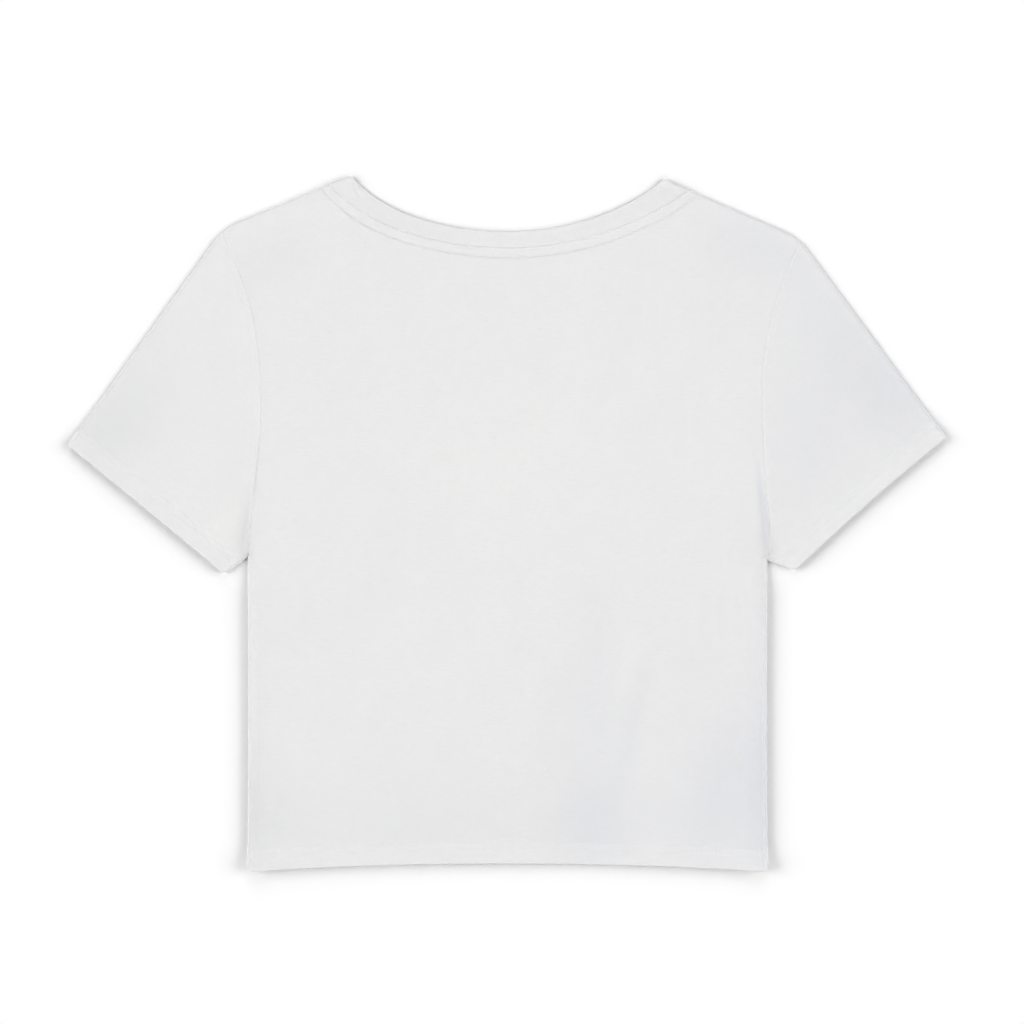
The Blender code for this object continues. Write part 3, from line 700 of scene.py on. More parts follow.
# ---------------------------------------------------------------- the lay
def crease_height(crease, plan):
    """Height that one soft crease adds at each plan point."""
    angle = math.radians(crease.direction)
    on = np.array([math.cos(angle), math.sin(angle)])
    away = plan - np.array([crease.x, crease.y]) * MM
    run = (away * on).sum(-1) / (0.5 * crease.length * MM)
    across = away[..., 0] * -on[1] + away[..., 1] * on[0]
    return crease.height * MM * bell(across, crease.width * MM) * smooth(1.0 - np.abs(run))


def creased(creases, plan):
    """Height that a whole table of creases adds at each plan point."""
    return sum(crease_height(crease, plan) for crease in creases)


def past_fold(plan):
    """How far each plan point lies in from where the nearest fold has turned."""
    distance, _ = to_fold(plan)
    return np.maximum(distance - FOLD_RADIUS, 0.0)


def by_the_cuffs(plan, start, shape):
    """A shape over the distance up from each sleeve's cuff, from a start past the body's side."""
    beyond = smooth((np.abs(plan[..., 0]) - CHEST_HALF - start) / (2.0 * EDGE_REACH))
    total = 0.0
    for side in SIDES:
        up, _ = cuff_distance(plan, side)
        total = total + np.where(side.sign * plan[..., 0] > 0.0, shape(up), 0.0)
    return total * beyond


def fold_edges(plan):
    """Heights of the folds' upper and lower faces, level with each plan point."""
    start, end = FOLD_CHANGE
    share = smooth((plan[..., 1] - start) / (end - start))
    thick = smooth((plan[..., 1] - THICK_NECK) / THICK_NECK_RUN)
    thick = thick + by_the_cuffs(plan, -EDGE_REACH, lambda up: smooth(1.5 - up / THICK_REACH))
    top = lerp(TOP_FOLD, END_FOLD, np.clip(thick, 0.0, 1.0))
    return lerp(top, SIDE_FOLD, share), SIDE_LIFT * share


def edge_lift(plan):
    """How far the hem or a cuff lifts both layers at each plan point."""
    hem = bell(plan[..., 1] - hem_height(plan[..., 0]), EDGE_REACH)
    hem = hem * (1.0 + CORNER_LIFT * (plan[..., 0] / CHEST_HALF) ** 2)
    return EDGE_LIFT * (hem + by_the_cuffs(plan, CUFF_START, lambda up: bell(up, EDGE_REACH)))


def past_front(plan):
    """How far on each plan point is from the front neck's free edge, 0, to the back's, 1."""
    low, high = (np.interp(plan[..., 0], *path.T) for path in (FRONT_EDGE_PATH, BACK_EDGE_PATH))
    return smooth((plan[..., 1] - low) / np.maximum(high - low, DROOP_RUN))


def upper_level(plan):
    """Height of the upper layer's face, before it turns down at the folds."""
    past = past_fold(plan)
    crown, _ = fold_edges(plan)
    level = LAY_LEVEL + (crown - LAY_LEVEL) * bell(past, CROWN_REACH) + edge_lift(plan)
    soft = CREASE_DEPTH * creased(CREASES + FINE_CREASES, plan)
    level = level + soft * smooth(past / CREASE_CLEAR)
    level = level - NECK_DROOP * past_front(plan) * smooth(past / DROOP_CLEAR)
    return level + creased(DIPS, plan) * smooth(past / DIP_CLEAR)


def lower_level(plan):
    """Height of the lower layer's face, which rests on the surface but for its creases."""
    past = past_fold(plan)
    soft = creased(UNDER_CREASES, plan)
    _, lift = fold_edges(plan)
    return soft * smooth(past / CREASE_CLEAR) + lift * bell(past, LIFT_REACH) + edge_lift(plan)


def slopes(level, plan):
    """Slope of a level in x and in y at each plan point."""
    reach = 0.5 * MM
    slope = np.zeros(plan.shape)
    for axis in (0, 1):
        step = np.zeros(2)
        step[axis] = reach
        slope[..., axis] = (level(plan + step) - level(plan - step)) / (2 * reach)
    return slope


def face(plan, layer):
    """Points of the garment's outer face over the plan, and its normals.

    Layer is UPPER or LOWER at each point. Within the fold radius both layers turn
    to the middle of the fold.
    """
    layer = np.broadcast_to(layer, plan.shape[:-1])
    distance, out = to_fold(plan)
    up, sideways, upward = fold_turn(distance)
    above = layer > 0.0
    level = np.where(above, upper_level(plan), lower_level(plan))
    crown, lift = fold_edges(plan)
    half = 0.5 * (crown - lift)
    height = level - layer * half * (1.0 - up)
    slope = np.where(above[..., None], slopes(upper_level, plan), -slopes(lower_level, plan))
    flat = out * (sideways * half / FOLD_RADIUS)[..., None] - slope * upward[..., None]
    normals = unit(np.concatenate([flat, (layer * upward)[..., None]], axis=-1))
    return np.concatenate([plan, height[..., None]], axis=-1), normals


# ---------------------------------------------------------------- seams in plan
def neck_rise(x, side_bow, half, rise):
    """Rise of a neck curve above its lowest point."""
    t = np.abs(x - NECK_MIDDLE) / half
    return rise * (side_bow * t ** 2 + (1.0 - side_bow) * t ** 6)


def neck_path(ends, bottom, bows):
    """Neck curve from its left end to its right one, as a path."""
    halves = []
    for end, bow in zip(ends, bows):
        x = lerp(end[0], NECK_MIDDLE, np.linspace(0.0, 1.0, FINE))
        y = bottom + neck_rise(x, bow, abs(end[0] - NECK_MIDDLE), end[1] - bottom)
        halves.append(np.stack([x, y], axis=1))
    return np.concatenate([halves[0], halves[1][-2::-1]])


def on_fold(side, run):
    """Point at a distance in millimetres along the upper fold, from the neck's tip."""
    return along(upper_fold(side), run * MM)


ROOTS = (on_fold(LEFT, LEFT.root), on_fold(RIGHT, RIGHT.root))
TIPS = (on_fold(LEFT, 0.0), on_fold(RIGHT, 0.0))
BACK_SEAM_PATH = neck_path(ROOTS, BACK_SEAM, (LEFT.seam_bow, RIGHT.seam_bow))
BACK_EDGE_PATH = neck_path(TIPS, BACK_EDGE, (LEFT.edge_bow, RIGHT.edge_bow))
FRONT_SEAM_PATH = neck_path(ROOTS, FRONT_SEAM, (FRONT_BOW, FRONT_BOW))
FRONT_EDGE_PATH = neck_path(TIPS, FRONT_EDGE, (FRONT_BOW, FRONT_BOW))

# The frame's origin, in plan: its back reaches furthest right at the armhole's top,
# and its highest point in plan is the left tip of the neck.
ORIGIN = np.array([
    on_fold(RIGHT, RIGHT.armhole)[0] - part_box("back")[1].x,
    TIPS[0][1] - CAD_BOX[1].y,
    0.0,
])


def armhole_x(side, height):
    """Place across of the armhole seam at a height above the underarm."""
    top = on_fold(side, side.armhole)
    low = np.array(side.underarm) * MM
    shares = [row.share for row in ARMHOLE] + [1.0]
    column = "left_in" if side.sign < 0 else "right_in"
    inset = [getattr(row, column) * MM for row in ARMHOLE] + [CHEST_HALF - abs(top[0])]
    share = (height - low[1]) / (top[1] - low[1])
    return side.sign * (CHEST_HALF - curve_through(shares, inset, share))


def armhole_path(side):
    """Armhole seam from the underarm to the shoulder fold, as a path."""
    low = side.underarm[1] * MM
    height = np.linspace(low, on_fold(side, side.armhole)[1], FINE)
    return np.stack([armhole_x(side, height), height], axis=1)


# ---------------------------------------------------------------- how sewing shapes the cloth
def seam_dip(distance, depth=SEAM_DIP):
    """The cloth turns in at a seam, this far from it."""
    return -depth * bell(distance, SEAM_EASE)


def seam_ridge(distance):
    """The sleeves and the neckband stand up a little beside their seams."""
    return bell(distance - RIDGE_PLACE, RIDGE_WIDE)


def allowance_rise(distance):
    """Turned-in edges of a seam lie under the cloth beside it."""
    return ALLOWANCE_RISE * smooth(distance / MM) * smooth((ALLOWANCE + MM - distance) / ALLOWANCE_STEP)


def in_hem(distance, depth):
    """1 in a hem and 0 past its turned-in edge, for a distance from its lower edge."""
    return smooth((depth + HEM_STEP - distance) / HEM_STEP)


def needle_dip(distance, row):
    """Furrow of one row of stitches, given the distance from the edge it runs along."""
    return -NEEDLE_DIP * bell(distance - row, NEEDLE_WIDE)


def puckers(distance, run, row, reach, seed):
    """Small gathers that sewing draws up on both sides of a row."""
    uneven = 0.6 + 0.4 * wander(run / PUCKER_DRIFT, seed + 2.0)
    return PUCKER_RISE * uneven * wander(run / PUCKER_LONG, seed) * bell(distance - row, reach)


def hem_shape(distance, run, depth, seed):
    """Everything that a hem does to the face of its panel."""
    rows = needle_dip(distance, NEEDLE_LOW) + needle_dip(distance, NEEDLE_HIGH)
    gathers = puckers(distance, run, depth, HEM_PUCKERS, seed) * smooth(distance / HEM_CALM)
    return HEM_RISE * in_hem(distance, depth) + rows + gathers


def keep_down(plan, move):
    """The same moves, but none of them outwards where the lower layer rests on the surface."""
    return np.where(to_fold(plan)[0] > FOLD_RADIUS, np.minimum(move, 0.0), move)


def inner_face(points, normals, hem, free):
    """Inner side of a panel of jersey, which is thicker in its hem.

    Where a hem is free to stand up, its inner side rises with its face.
    """
    sizes = bpy.context.scene.shirt_sizes
    thick = lerp(sizes.cloth, sizes.hem_cloth, hem)
    return points - normals * (thick - HEM_RISE * hem * free)[..., None]


# ---------------------------------------------------------------- shells
def round_rim(edge, behind, inner):
    """Points round a turned edge, from the outer rim to the inner one, past the edge."""
    middle, half = 0.5 * (edge + inner), 0.5 * (edge - inner)
    way = unit(edge - behind)
    width = np.linalg.norm(half, axis=-1, keepdims=True)
    for step in range(1, ROUNDING):
        angle = math.pi * step / ROUNDING
        yield middle + half * math.cos(angle) + way * width * math.sin(angle)


def shell_mesh(name, outer, inner, grain, ring=False, turned_rows=()):
    """Closed shell between two grids of points, with its grain as a UV map.

    A ring joins its last column to its first. Rows in turned_rows, the first (0)
    or the last (-1), end in a rounded edge. Any other edge ends square.
    """
    rows, columns = outer.shape[:2]
    outer = np.concatenate([outer[..., :2], np.maximum(outer[..., 2:], 0.0)], axis=-1)
    count = rows * columns
    points = [outer.reshape(-1, 3), inner.reshape(-1, 3)]
    grains = [grain.reshape(-1, 2)] * 2
    faces = []
    last = columns if ring else columns - 1
    across = np.arange(last)
    beside = (across + 1) % columns
    for i in range(rows - 1):
        a, b = i * columns + across, i * columns + beside
        faces.append(np.stack([a, b, b + columns, a + columns], axis=1))
        faces.append(np.stack([a, a + columns, b + columns, b], axis=1) + count)
    caps = []
    total = 2 * count
    for row in (0, -1):
        start = 0 if row == 0 else count - columns
        strips = [start + np.arange(columns)]
        if row in turned_rows:
            behind = outer[1] if row == 0 else outer[-2]
            for extra in round_rim(outer[row], behind, inner[row]):
                points.append(extra)
                grains.append(grain[row])
                strips.append(total + np.arange(columns))
                total += columns
        strips.append(count + start + np.arange(columns))
        for near, far in zip(strips, strips[1:]):
            quad = [near[across], far[across], far[beside], near[beside]]
            faces.append(np.stack(quad if row == 0 else quad[::-1], axis=1))
        if not ring and len(strips) > 2:
            stack = np.stack(strips)
            caps.append((stack[:, 0], row != 0))
            caps.append((stack[:, -1], row == 0))
    if not ring:
        up = np.arange(rows - 1) * columns
        faces.append(np.stack([up, up + columns, up + columns + count, up + count], axis=1))
        down = up + columns - 1
        faces.append(np.stack([down, down + count, down + columns + count, down + columns], axis=1))
    polygons = np.concatenate(faces).tolist()
    polygons += [(cap if forward else cap[::-1]).tolist() for cap, forward in caps]
    return mesh_piece(name, np.concatenate(points), polygons, np.concatenate(grains))


def mesh_piece(name, points, polygons, grain):
    """Object with this mesh, its faces outwards and its grain as a UV map, on the frame."""
    mesh = bpy.data.meshes.new(name)
    mesh.from_pydata((points - ORIGIN).tolist(), [], polygons)
    shape = bmesh.new()
    shape.from_mesh(mesh)
    if shape.calc_volume(signed=True) < 0.0:
        bmesh.ops.reverse_faces(shape, faces=shape.faces[:])
    shape.to_mesh(mesh)
    shape.free()
    corners = np.zeros(len(mesh.loops), np.int32)
    mesh.loops.foreach_get("vertex_index", corners)
    grain_map = mesh.uv_layers.new(name="grain")
    grain_map.uv.foreach_set("vector", grain[corners].astype(np.float32).ravel())
    mesh.shade_smooth()
    mesh.set_sharp_from_angle(angle=math.radians(60))
    piece = bpy.data.objects.new(name, mesh)
    bpy.context.collection.objects.link(piece)
    return piece


# the hollow note is painted shade and the cool note its cooler colour; a rim has neither
RIM = {"doubled": 1.0, "hollow": 0.0, "cool": 0.0}      # what each note says on a rounded rim


def note(piece, name, amounts):
    """Say at each point of a shell how strong something is there, for its material.

    The amounts are the same on both faces, and the rim's points have one of their own.
    """
    both = np.concatenate([amounts.ravel(), amounts.ravel()])
    extra = len(piece.data.vertices) - len(both)
    layer = piece.data.attributes.new(name, "FLOAT", "POINT")
    whole = np.concatenate([both, np.full(extra, RIM[name])])
    layer.data.foreach_set("value", whole.astype(np.float32))


def by_underarm(plan, side, width):
    """How close each plan point is to an underarm, from 0 to 1 there."""
    return bell(np.linalg.norm(plan - np.array(side.underarm) * MM, axis=-1), width)


def painted_shade_share(plan, layers):
    """Share of painted shade on the upper layer at each plan point: the patches, darker folds, and a
    painted highlight beside the sleeves' seams.
    """
    whole = creased(PAINTED_SHADE_PATCHES, plan) / MM
    distance, _ = to_fold(plan)
    # painted shade along the folds, less of it near the underarms
    tone = np.where(plan[..., 0] < 0.0, *FOLD_PAINTED_SHADE) * bell(distance, FOLD_PAINTED_SHADE_WIDE)
    for side in SIDES:
        tone = tone * (1.0 - by_underarm(plan, side, ARMPIT_WIDE))
        beyond = side.sign * (plan[..., 0] - armhole_x(side, plan[..., 1]))
        above = plan[..., 1] > side.underarm[1] * MM
        whole = whole - RIDGE_PAINTED_HIGHLIGHT * seam_ridge(beyond) * above
    return np.where(layers > 0.0, whole + tone, 0.0)


def painted_shade_coolness(plan):
    """How cool the colour of the painted shade is at each plan point."""
    whole = lerp(COOL_LEAST, 1.0, smooth((plan[..., 0] - COOL_FROM) / COOL_RUN))
    for side in SIDES:
        whole = whole * (1.0 - WARM_UNDERARM * by_underarm(plan, side, 2.0 * ARMPIT_WIDE))
    return whole


def take_finish(piece, node, material, notes):
    """A cloth piece takes its notes, its material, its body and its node's place."""
    for name, amounts in notes.items():
        note(piece, name, amounts)
    piece.data.materials.append(material)
    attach(piece, ROOT)
    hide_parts(node)


# ---------------------------------------------------------------- body panels
def panel_top(neck):
    """Points of a panel's upper edge that its columns run to, from left to right.

    The edge is the left shoulder, the neck and the right shoulder. The neck is a
    seam's room off the neckband, and the shoulders lie on the fold itself.
    """
    shoulders = []
    for side in SIDES:
        start, end = side.root * MM + SEAM_ROOM, side.armhole * MM
        run = spaced(end - start, np.array([0.0]), EDGE_STEPS, SHOULDER_COLUMNS)
        shoulders.append(along(upper_fold(side), start + run))
    stations = spaced(length_of(neck), NECK_STEPS, NECK_STEPS, NECK_COLUMNS)
    seam = along(neck, stations, -SEAM_ROOM)
    return np.concatenate([shoulders[0][::-1], seam, shoulders[1]])


def side_roll(height, side):
    """How far the side seam is rolled to the back at a height."""
    below = side.underarm[1] * MM - height
    return bpy.context.scene.shirt_sizes.side_roll * smooth(below / ROLL_RUN)


def column_places(x_chest, height, chest, layer):
    """Place across and layer of each column at rows below the chest line.

    The side seams are rolled to the back, so the front's outer columns pass round
    the fold and lie on the upper side.
    """
    near = len(EDGE_STEPS)
    share = (x_chest + CHEST_HALF) / (2.0 * CHEST_HALF)
    half = body_half(height, chest)
    x = x_chest * half / CHEST_HALF
    layers = np.full(height.shape, layer)
    for side, columns, weight in ((LEFT, slice(0, near), 1.0 - share),
                                  (RIGHT, slice(-near, None), share)):
        steps = EDGE_STEPS if side is LEFT else EDGE_STEPS[::-1]
        first = 0 if side is LEFT else -1
        shift = side_roll(height[:, first], side)[:, None] * layer
        last = EDGE_STEPS[-1]
        inwards = unturned(shift + last) - unturned(last)
        x = x - side.sign * inwards * weight
        run = shift + steps
        x[:, columns] = side.sign * (half[:, columns] - unturned(run))
        layers[:, columns] = np.where(run < 0.0, -layer, layer)
    return x, layers


def body_plan(neck, layer):
    """Plan points of a body panel and their layers, rows from the hem up."""
    top = panel_top(neck)
    near = len(EDGE_STEPS)
    inwards = unturned(EDGE_STEPS)
    middle = np.linspace(inwards[-1], 2.0 * CHEST_HALF - inwards[-1], len(top) - 2 * near + 2)[1:-1]
    x_chest = np.concatenate([inwards, middle, 2.0 * CHEST_HALF - inwards[::-1]]) - CHEST_HALF
    share = (x_chest + CHEST_HALF) / (2.0 * CHEST_HALF)
    y_chest = lerp(LEFT.underarm[1], RIGHT.underarm[1], share) * MM
    lowest = np.broadcast_to(hem_height(x_chest), (1, len(top)))
    x_hem, _ = column_places(x_chest, lowest, y_chest, layer)
    y_hem = hem_height(x_hem[0]) + 0.5 * bpy.context.scene.shirt_sizes.hem_cloth
    rise = [spaced(c - h, HEM_STEPS, np.array([0.0]), BODY_ROWS) for c, h in zip(y_chest, y_hem)]
    y_low = y_hem + np.array(rise).T
    x_low, low_layers = column_places(x_chest, y_low, y_chest, layer)
    climb = [spaced(t - c, np.array([0.0]), TOP_STEPS, YOKE_ROWS) for t, c in zip(top[:, 1], y_chest)]
    climb = np.array(climb).T[1:]
    y_high = y_chest + climb
    part = climb / (top[:, 1] - y_chest)
    x_high = lerp(x_chest, top[:, 0], part)
    for side, column, weight in ((LEFT, 0, 1.0 - share), (RIGHT, -1, share)):
        seam_x = armhole_x(side, y_high[:, column])
        x_high = x_high + (seam_x - x_high[:, column])[:, None] * weight
    spread = EDGE_STEPS * (inwards[-1] / EDGE_STEPS[-1]) - inwards
    ease = smooth(climb / STEP_CHANGE) * smooth((top[:, 1] - y_high) / STEP_CHANGE)
    x_high[:, :near] += spread * ease[:, :near]
    x_high[:, -near:] -= spread[::-1] * ease[:, -near:]
    plan = np.concatenate([np.stack([x_low, y_low], axis=-1), np.stack([x_high, y_high], axis=-1)])
    layers = np.concatenate([low_layers, np.full(x_high.shape, layer)])
    return plan, layers, len(y_low)


def body_shape(plan, layers, chest_row, neck, layer):
    """How far sewing moves each point of a body panel out of its face, and if it is in the hem."""
    depth = bpy.context.scene.shirt_sizes.hem_depth
    x, y = plan[..., 0], plan[..., 1]
    above_hem = y - hem_height(x)
    move = hem_shape(above_hem, x * layers, depth, BODY_SEED + layer)
    beside = np.full(x.shape, 1.0)
    near = len(EDGE_STEPS)
    beside[:chest_row, :near] = EDGE_STEPS
    beside[:chest_row, -near:] = EDGE_STEPS[::-1]
    if layer > 0.0:
        start = smooth(above_hem[:chest_row] / ALLOWANCE_START)
        move[:chest_row] += allowance_rise(beside[:chest_row]) * start
    for side in SIDES:
        seam = away_from(armhole_path(side), plan)
        seam[:chest_row] = np.maximum(seam[:chest_row], beside[:chest_row])
        move += puckers(seam, y, 0.0, ARMHOLE_PUCKERS, ARMHOLE_SEED + side.sign)
        beside = np.minimum(beside, seam)
        shoulder = along(upper_fold(side), np.linspace(side.root, side.armhole, FINE) * MM)
        beside = np.minimum(beside, turned(away_from(shoulder, plan)))
    band = away_from(neck, plan)
    move += seam_dip(beside) + seam_dip(band, NECK_DIP) + needle_dip(band, TOPSTITCH)
    gathers = puckers(band, x, TOPSTITCH, TOPSTITCH_PUCKERS, TOPSTITCH_SEED + layer)
    move += allowance_rise(band) + NECK_PUCKERED * gathers
    return move, in_hem(above_hem, depth)


def body_panel(name, node, neck, layer, material):
    """Back or front of the body."""
    plan, layers, chest_row = body_plan(neck, layer)
    points, normals = face(plan, layers)
    move, hem = body_shape(plan, layers, chest_row, neck, layer)
    free = (layer > 0.0) | (layers > 0.0)
    move = np.where(free, move, np.minimum(move, 0.0))
    outer = points + normals * move[..., None]
    inner = inner_face(points, normals, hem, free)
    grain = plan + np.array([0.0, BODY_GRAIN * layer])
    piece = shell_mesh(name, outer, inner, grain, turned_rows=(0,))
    # the hollow note carries painted shade, the cool note its cooler colour
    notes = {"doubled": hem, "hollow": painted_shade_share(plan, layers), "cool": painted_shade_coolness(plan)}
    take_finish(piece, node, material, notes)
    return piece


# ---------------------------------------------------------------- sleeves
def sleeve_places(width):
    """Distances across a sleeve, from the underarm fold to its upper fold."""
    ends = unturned(EDGE_STEPS)
    return spaced(width, ends, ends, SLEEVE_COLUMNS)


def sleeve_top(side):
    """Fold along the top of the sleeve, from a seam's room past the armhole."""
    fold = upper_fold(side)
    start = side.armhole * MM + SEAM_ROOM
    return along(fold, np.linspace(start, length_of(fold), FINE))


def sleeve_seam(side):
    """Points of the sleeve's armhole edge, a seam's room off the body's."""
    path = armhole_path(side)
    low, high = path[0, 1], path[-1, 1]
    run = np.interp(low + sleeve_places(high - low), path[:, 1], run_of(path))
    seam = along(path, run, -side.sign * SEAM_ROOM)
    seam[-1] = sleeve_top(side)[0]
    seam[0] = path[0] + SEAM_ROOM * unit(np.array(side.cuff_inner) * MM - path[0])
    return seam


def cuff_axes(side):
    """The cuff's corner at the underarm, its width, its way across and its way up the sleeve."""
    inner, outer = np.array(side.cuff_inner) * MM, upper_fold(side)[-1]
    across = unit(outer - inner)
    up = to_left(across)
    return inner, float(np.linalg.norm(outer - inner)), across, up if up[1] > 0.0 else -up


def cuff_bow(side, share):
    """How far the cuff is drawn in at a share of its way from the underarm."""
    return side.cuff_bow * MM * np.clip(4.0 * share * (1.0 - share), 0.0, 1.0)


def cuff_distance(plan, side):
    """Distance up a sleeve from its cuff's edge, and the place along that edge."""
    inner, width, across, up = cuff_axes(side)
    away = plan - inner
    run = away @ across
    return away @ up - cuff_bow(side, run / width), run


def cuff_rounding(edge):
    """How far a cuff's edge draws back this near to its corner."""
    past = np.clip(1.0 - edge / CUFF_CORNER, 0.0, 1.0)
    return CUFF_CORNER * (1.0 - math.sqrt(1.0 - past ** 2))


def sleeve_plan(side):
    """Plan points of a sleeve, rows from the armhole to the cuff."""
    at_seam, top = sleeve_seam(side), sleeve_top(side)
    inner, width, across, up = cuff_axes(side)
    places = sleeve_places(width)
    at_cuff = inner + across * places[:, None]
    columns = []
    for begin, end, place in zip(at_seam, at_cuff, places):
        way = unit(end - begin)
        slant = abs(float(way @ up))
        edge = cuff_rounding(min(place, width - place)) + 0.5 * bpy.context.scene.shirt_sizes.hem_cloth
        edge += float(cuff_bow(side, place / width))
        length = np.linalg.norm(end - begin) - edge / slant
        run = spaced(float(length), EDGE_STEPS, HEM_STEPS / slant, SLEEVE_ROWS)
        columns.append(begin + way * run[:, None])
    bow = along(top, run) - columns[-1]
    weight = smooth(places / width)
    return np.stack([column + bow * w for column, w in zip(columns, weight)], axis=1)


def sleeve_shape(plan, layer, side):
    """How far sewing moves each point of a sleeve out of its face, and if it is in the hem."""
    depth = bpy.context.scene.shirt_sizes.hem_depth
    up, run = cuff_distance(plan, side)
    seam = away_from(armhole_path(side), plan)
    under = np.array([side.cuff_inner, side.underarm]) * MM
    below = turned(away_from(under, plan, pieces=2))
    move = hem_shape(up, run * layer, depth, CUFF_SEED + side.sign)
    move += seam_dip(np.minimum(seam, below)) + allowance_rise(seam) + SEAM_RIDGE * seam_ridge(seam)
    move += puckers(seam, plan[..., 1], 0.0, ARMHOLE_PUCKERS, ARMHOLE_SEED + side.sign)
    return move, in_hem(up, depth)


def sleeve(name, node, side, material):
    """One sleeve, a flattened tube open at the armhole and at the cuff."""
    plan = sleeve_plan(side)
    halves = []
    for layer in (UPPER, LOWER):
        points, normals = face(plan, layer)
        move, hem = sleeve_shape(plan, layer, side)
        if layer < 0.0:
            move = keep_down(plan, move)
        outer = points + normals * move[..., None]
        inner = inner_face(points, normals, hem, layer > 0.0)
        up, run = cuff_distance(plan, side)
        grain = np.stack([run, up + SLEEVE_GRAIN * layer], axis=-1)
        # painted shade and its cool colour go with each layer as notes
        halves.append((outer, inner, grain, hem, painted_shade_share(plan, layer), painted_shade_coolness(plan)))
    joined = [np.concatenate([top, low[:, -2:0:-1]], axis=1) for top, low in zip(*halves)]
    outer, inner, grain, hem, hollow, cool = joined
    fold = 0.5 * (halves[0][0][:, (0, -1)] + halves[1][0][:, (0, -1)])
    outer[:, 0], outer[:, plan.shape[1] - 1] = fold[:, 0], fold[:, 1]
    piece = shell_mesh(name, outer, inner, grain, ring=True, turned_rows=(-1,))
    take_finish(piece, node, material, {"doubled": hem, "hollow": hollow, "cool": cool})
    return piece


# ---------------------------------------------------------------- neckband
def bend_ends(plan, run, left, right):
    """Draw the ends of a path or a strip to these points over a short way."""
    start, end = left - plan[0], right - plan[-1]
    wide = (slice(None),) + (None,) * (plan.ndim - 1)
    return plan + bell(run, BAND_BEND)[wide] * start + bell(run[-1] - run, BAND_BEND)[wide] * end


def band_half(edge, seam):
    """Plan points of half the neckband, stations from left to right, then across."""
    ends = unturned(EDGE_STEPS)
    count = BAND_STATIONS - 2 * len(ends)
    inner = along(edge, spaced(length_of(edge), ends, ends, count))
    run = spaced(length_of(seam), ends, ends, count)
    outer = along(seam, run)
    share = 0.5 - 0.5 * np.cos(np.linspace(0.0, math.pi, BAND_ACROSS + 1))
    plan = lerp(inner[:, None], outer[:, None], share[:, None])
    folds = [along(upper_fold(side), share * side.root * MM) for side in SIDES]
    return bend_ends(plan, run, *folds), run, share


def neckband(name, node, material):
    """Folded rib sewn into a ring, over the back neck and under the front one."""
    sizes = bpy.context.scene.shirt_sizes
    width = BACK_EDGE - BACK_SEAM
    halves = []
    for edge, seam, layer in ((BACK_EDGE_PATH, BACK_SEAM_PATH, UPPER),
                              (FRONT_EDGE_PATH, FRONT_SEAM_PATH, LOWER)):
        plan, run, share = band_half(edge, seam)
        points, normals = face(plan, layer)
        from_seam = (1.0 - share) * width
        swell = np.sqrt(np.clip(np.sin(math.pi * np.clip(share, 0.0, 1.0)), 0.0, 1.0))
        move = BAND_SWELL * swell * max(layer, 0.0) + SEAM_RIDGE * seam_ridge(from_seam)
        move = move + seam_dip(from_seam, NECK_DIP)
        gathers = puckers(from_seam, run[:, None], 0.0, BAND_PUCKERS, BAND_SEED + layer)
        move = move + NECK_PUCKERED * gathers
        if layer < 0.0:
            move = keep_down(plan, move)
        thick = sizes.band_cloth - BAND_THIN * (1.0 - swell)
        outer = points + normals * move[..., None]
        inner = outer - normals * np.broadcast_to(thick, run.shape + thick.shape)[..., None]
        grain = np.stack(np.broadcast_arrays(run[:, None], from_seam + BAND_GRAIN * layer), axis=-1)
        # painted shade at the band's free edge and from the patches
        tone = BAND_EDGE_PAINTED_SHADE * bell(width - from_seam, BAND_EDGE_PAINTED_SHADE_WIDE) + painted_shade_share(plan, layer)
        halves.append((outer, inner, grain, tone))
    joined = [np.concatenate([top, low[-2:0:-1]]).swapaxes(0, 1) for top, low in zip(*halves)]
    piece = shell_mesh(name, *joined[:3], ring=True, turned_rows=(0,))
    take_finish(piece, node, material, {"hollow": joined[3]})
    return piece


# ---------------------------------------------------------------- stitches
def one_stitch():
    """Points and faces of a single stitch: a short thread that dips in at both ends."""
    sizes = bpy.context.scene.shirt_sizes
    bpy.ops.object.select_all(action="DESELECT")
    bpy.ops.mesh.primitive_uv_sphere_add(
        segments=8, ring_count=6, radius=0.5, location=(0, 0, 0), rotation=(0, math.radians(90), 0),
        scale=(sizes.thread, sizes.thread, STITCH_SPAN * sizes.stitch))
    pattern = bpy.context.object
    bpy.ops.object.transform_apply(location=True, rotation=True, scale=True)
    bpy.ops.object.mode_set(mode="EDIT")
    shape = bmesh.from_edit_mesh(pattern.data)
    for vertex in shape.verts:
        vertex.select = abs(vertex.co.x) > STITCH_FLAT * sizes.stitch
    shape.select_flush_mode()
    bmesh.update_edit_mesh(pattern.data)
    bpy.ops.transform.translate(value=(0, 0, -STITCH_DIP * sizes.thread))
    bpy.ops.object.mode_set(mode="OBJECT")
    points = np.array([vertex.co[:] for vertex in pattern.data.vertices])
    faces = [list(polygon.vertices) for polygon in pattern.data.polygons]
    bpy.data.objects.remove(pattern, do_unlink=True)
    return points, faces


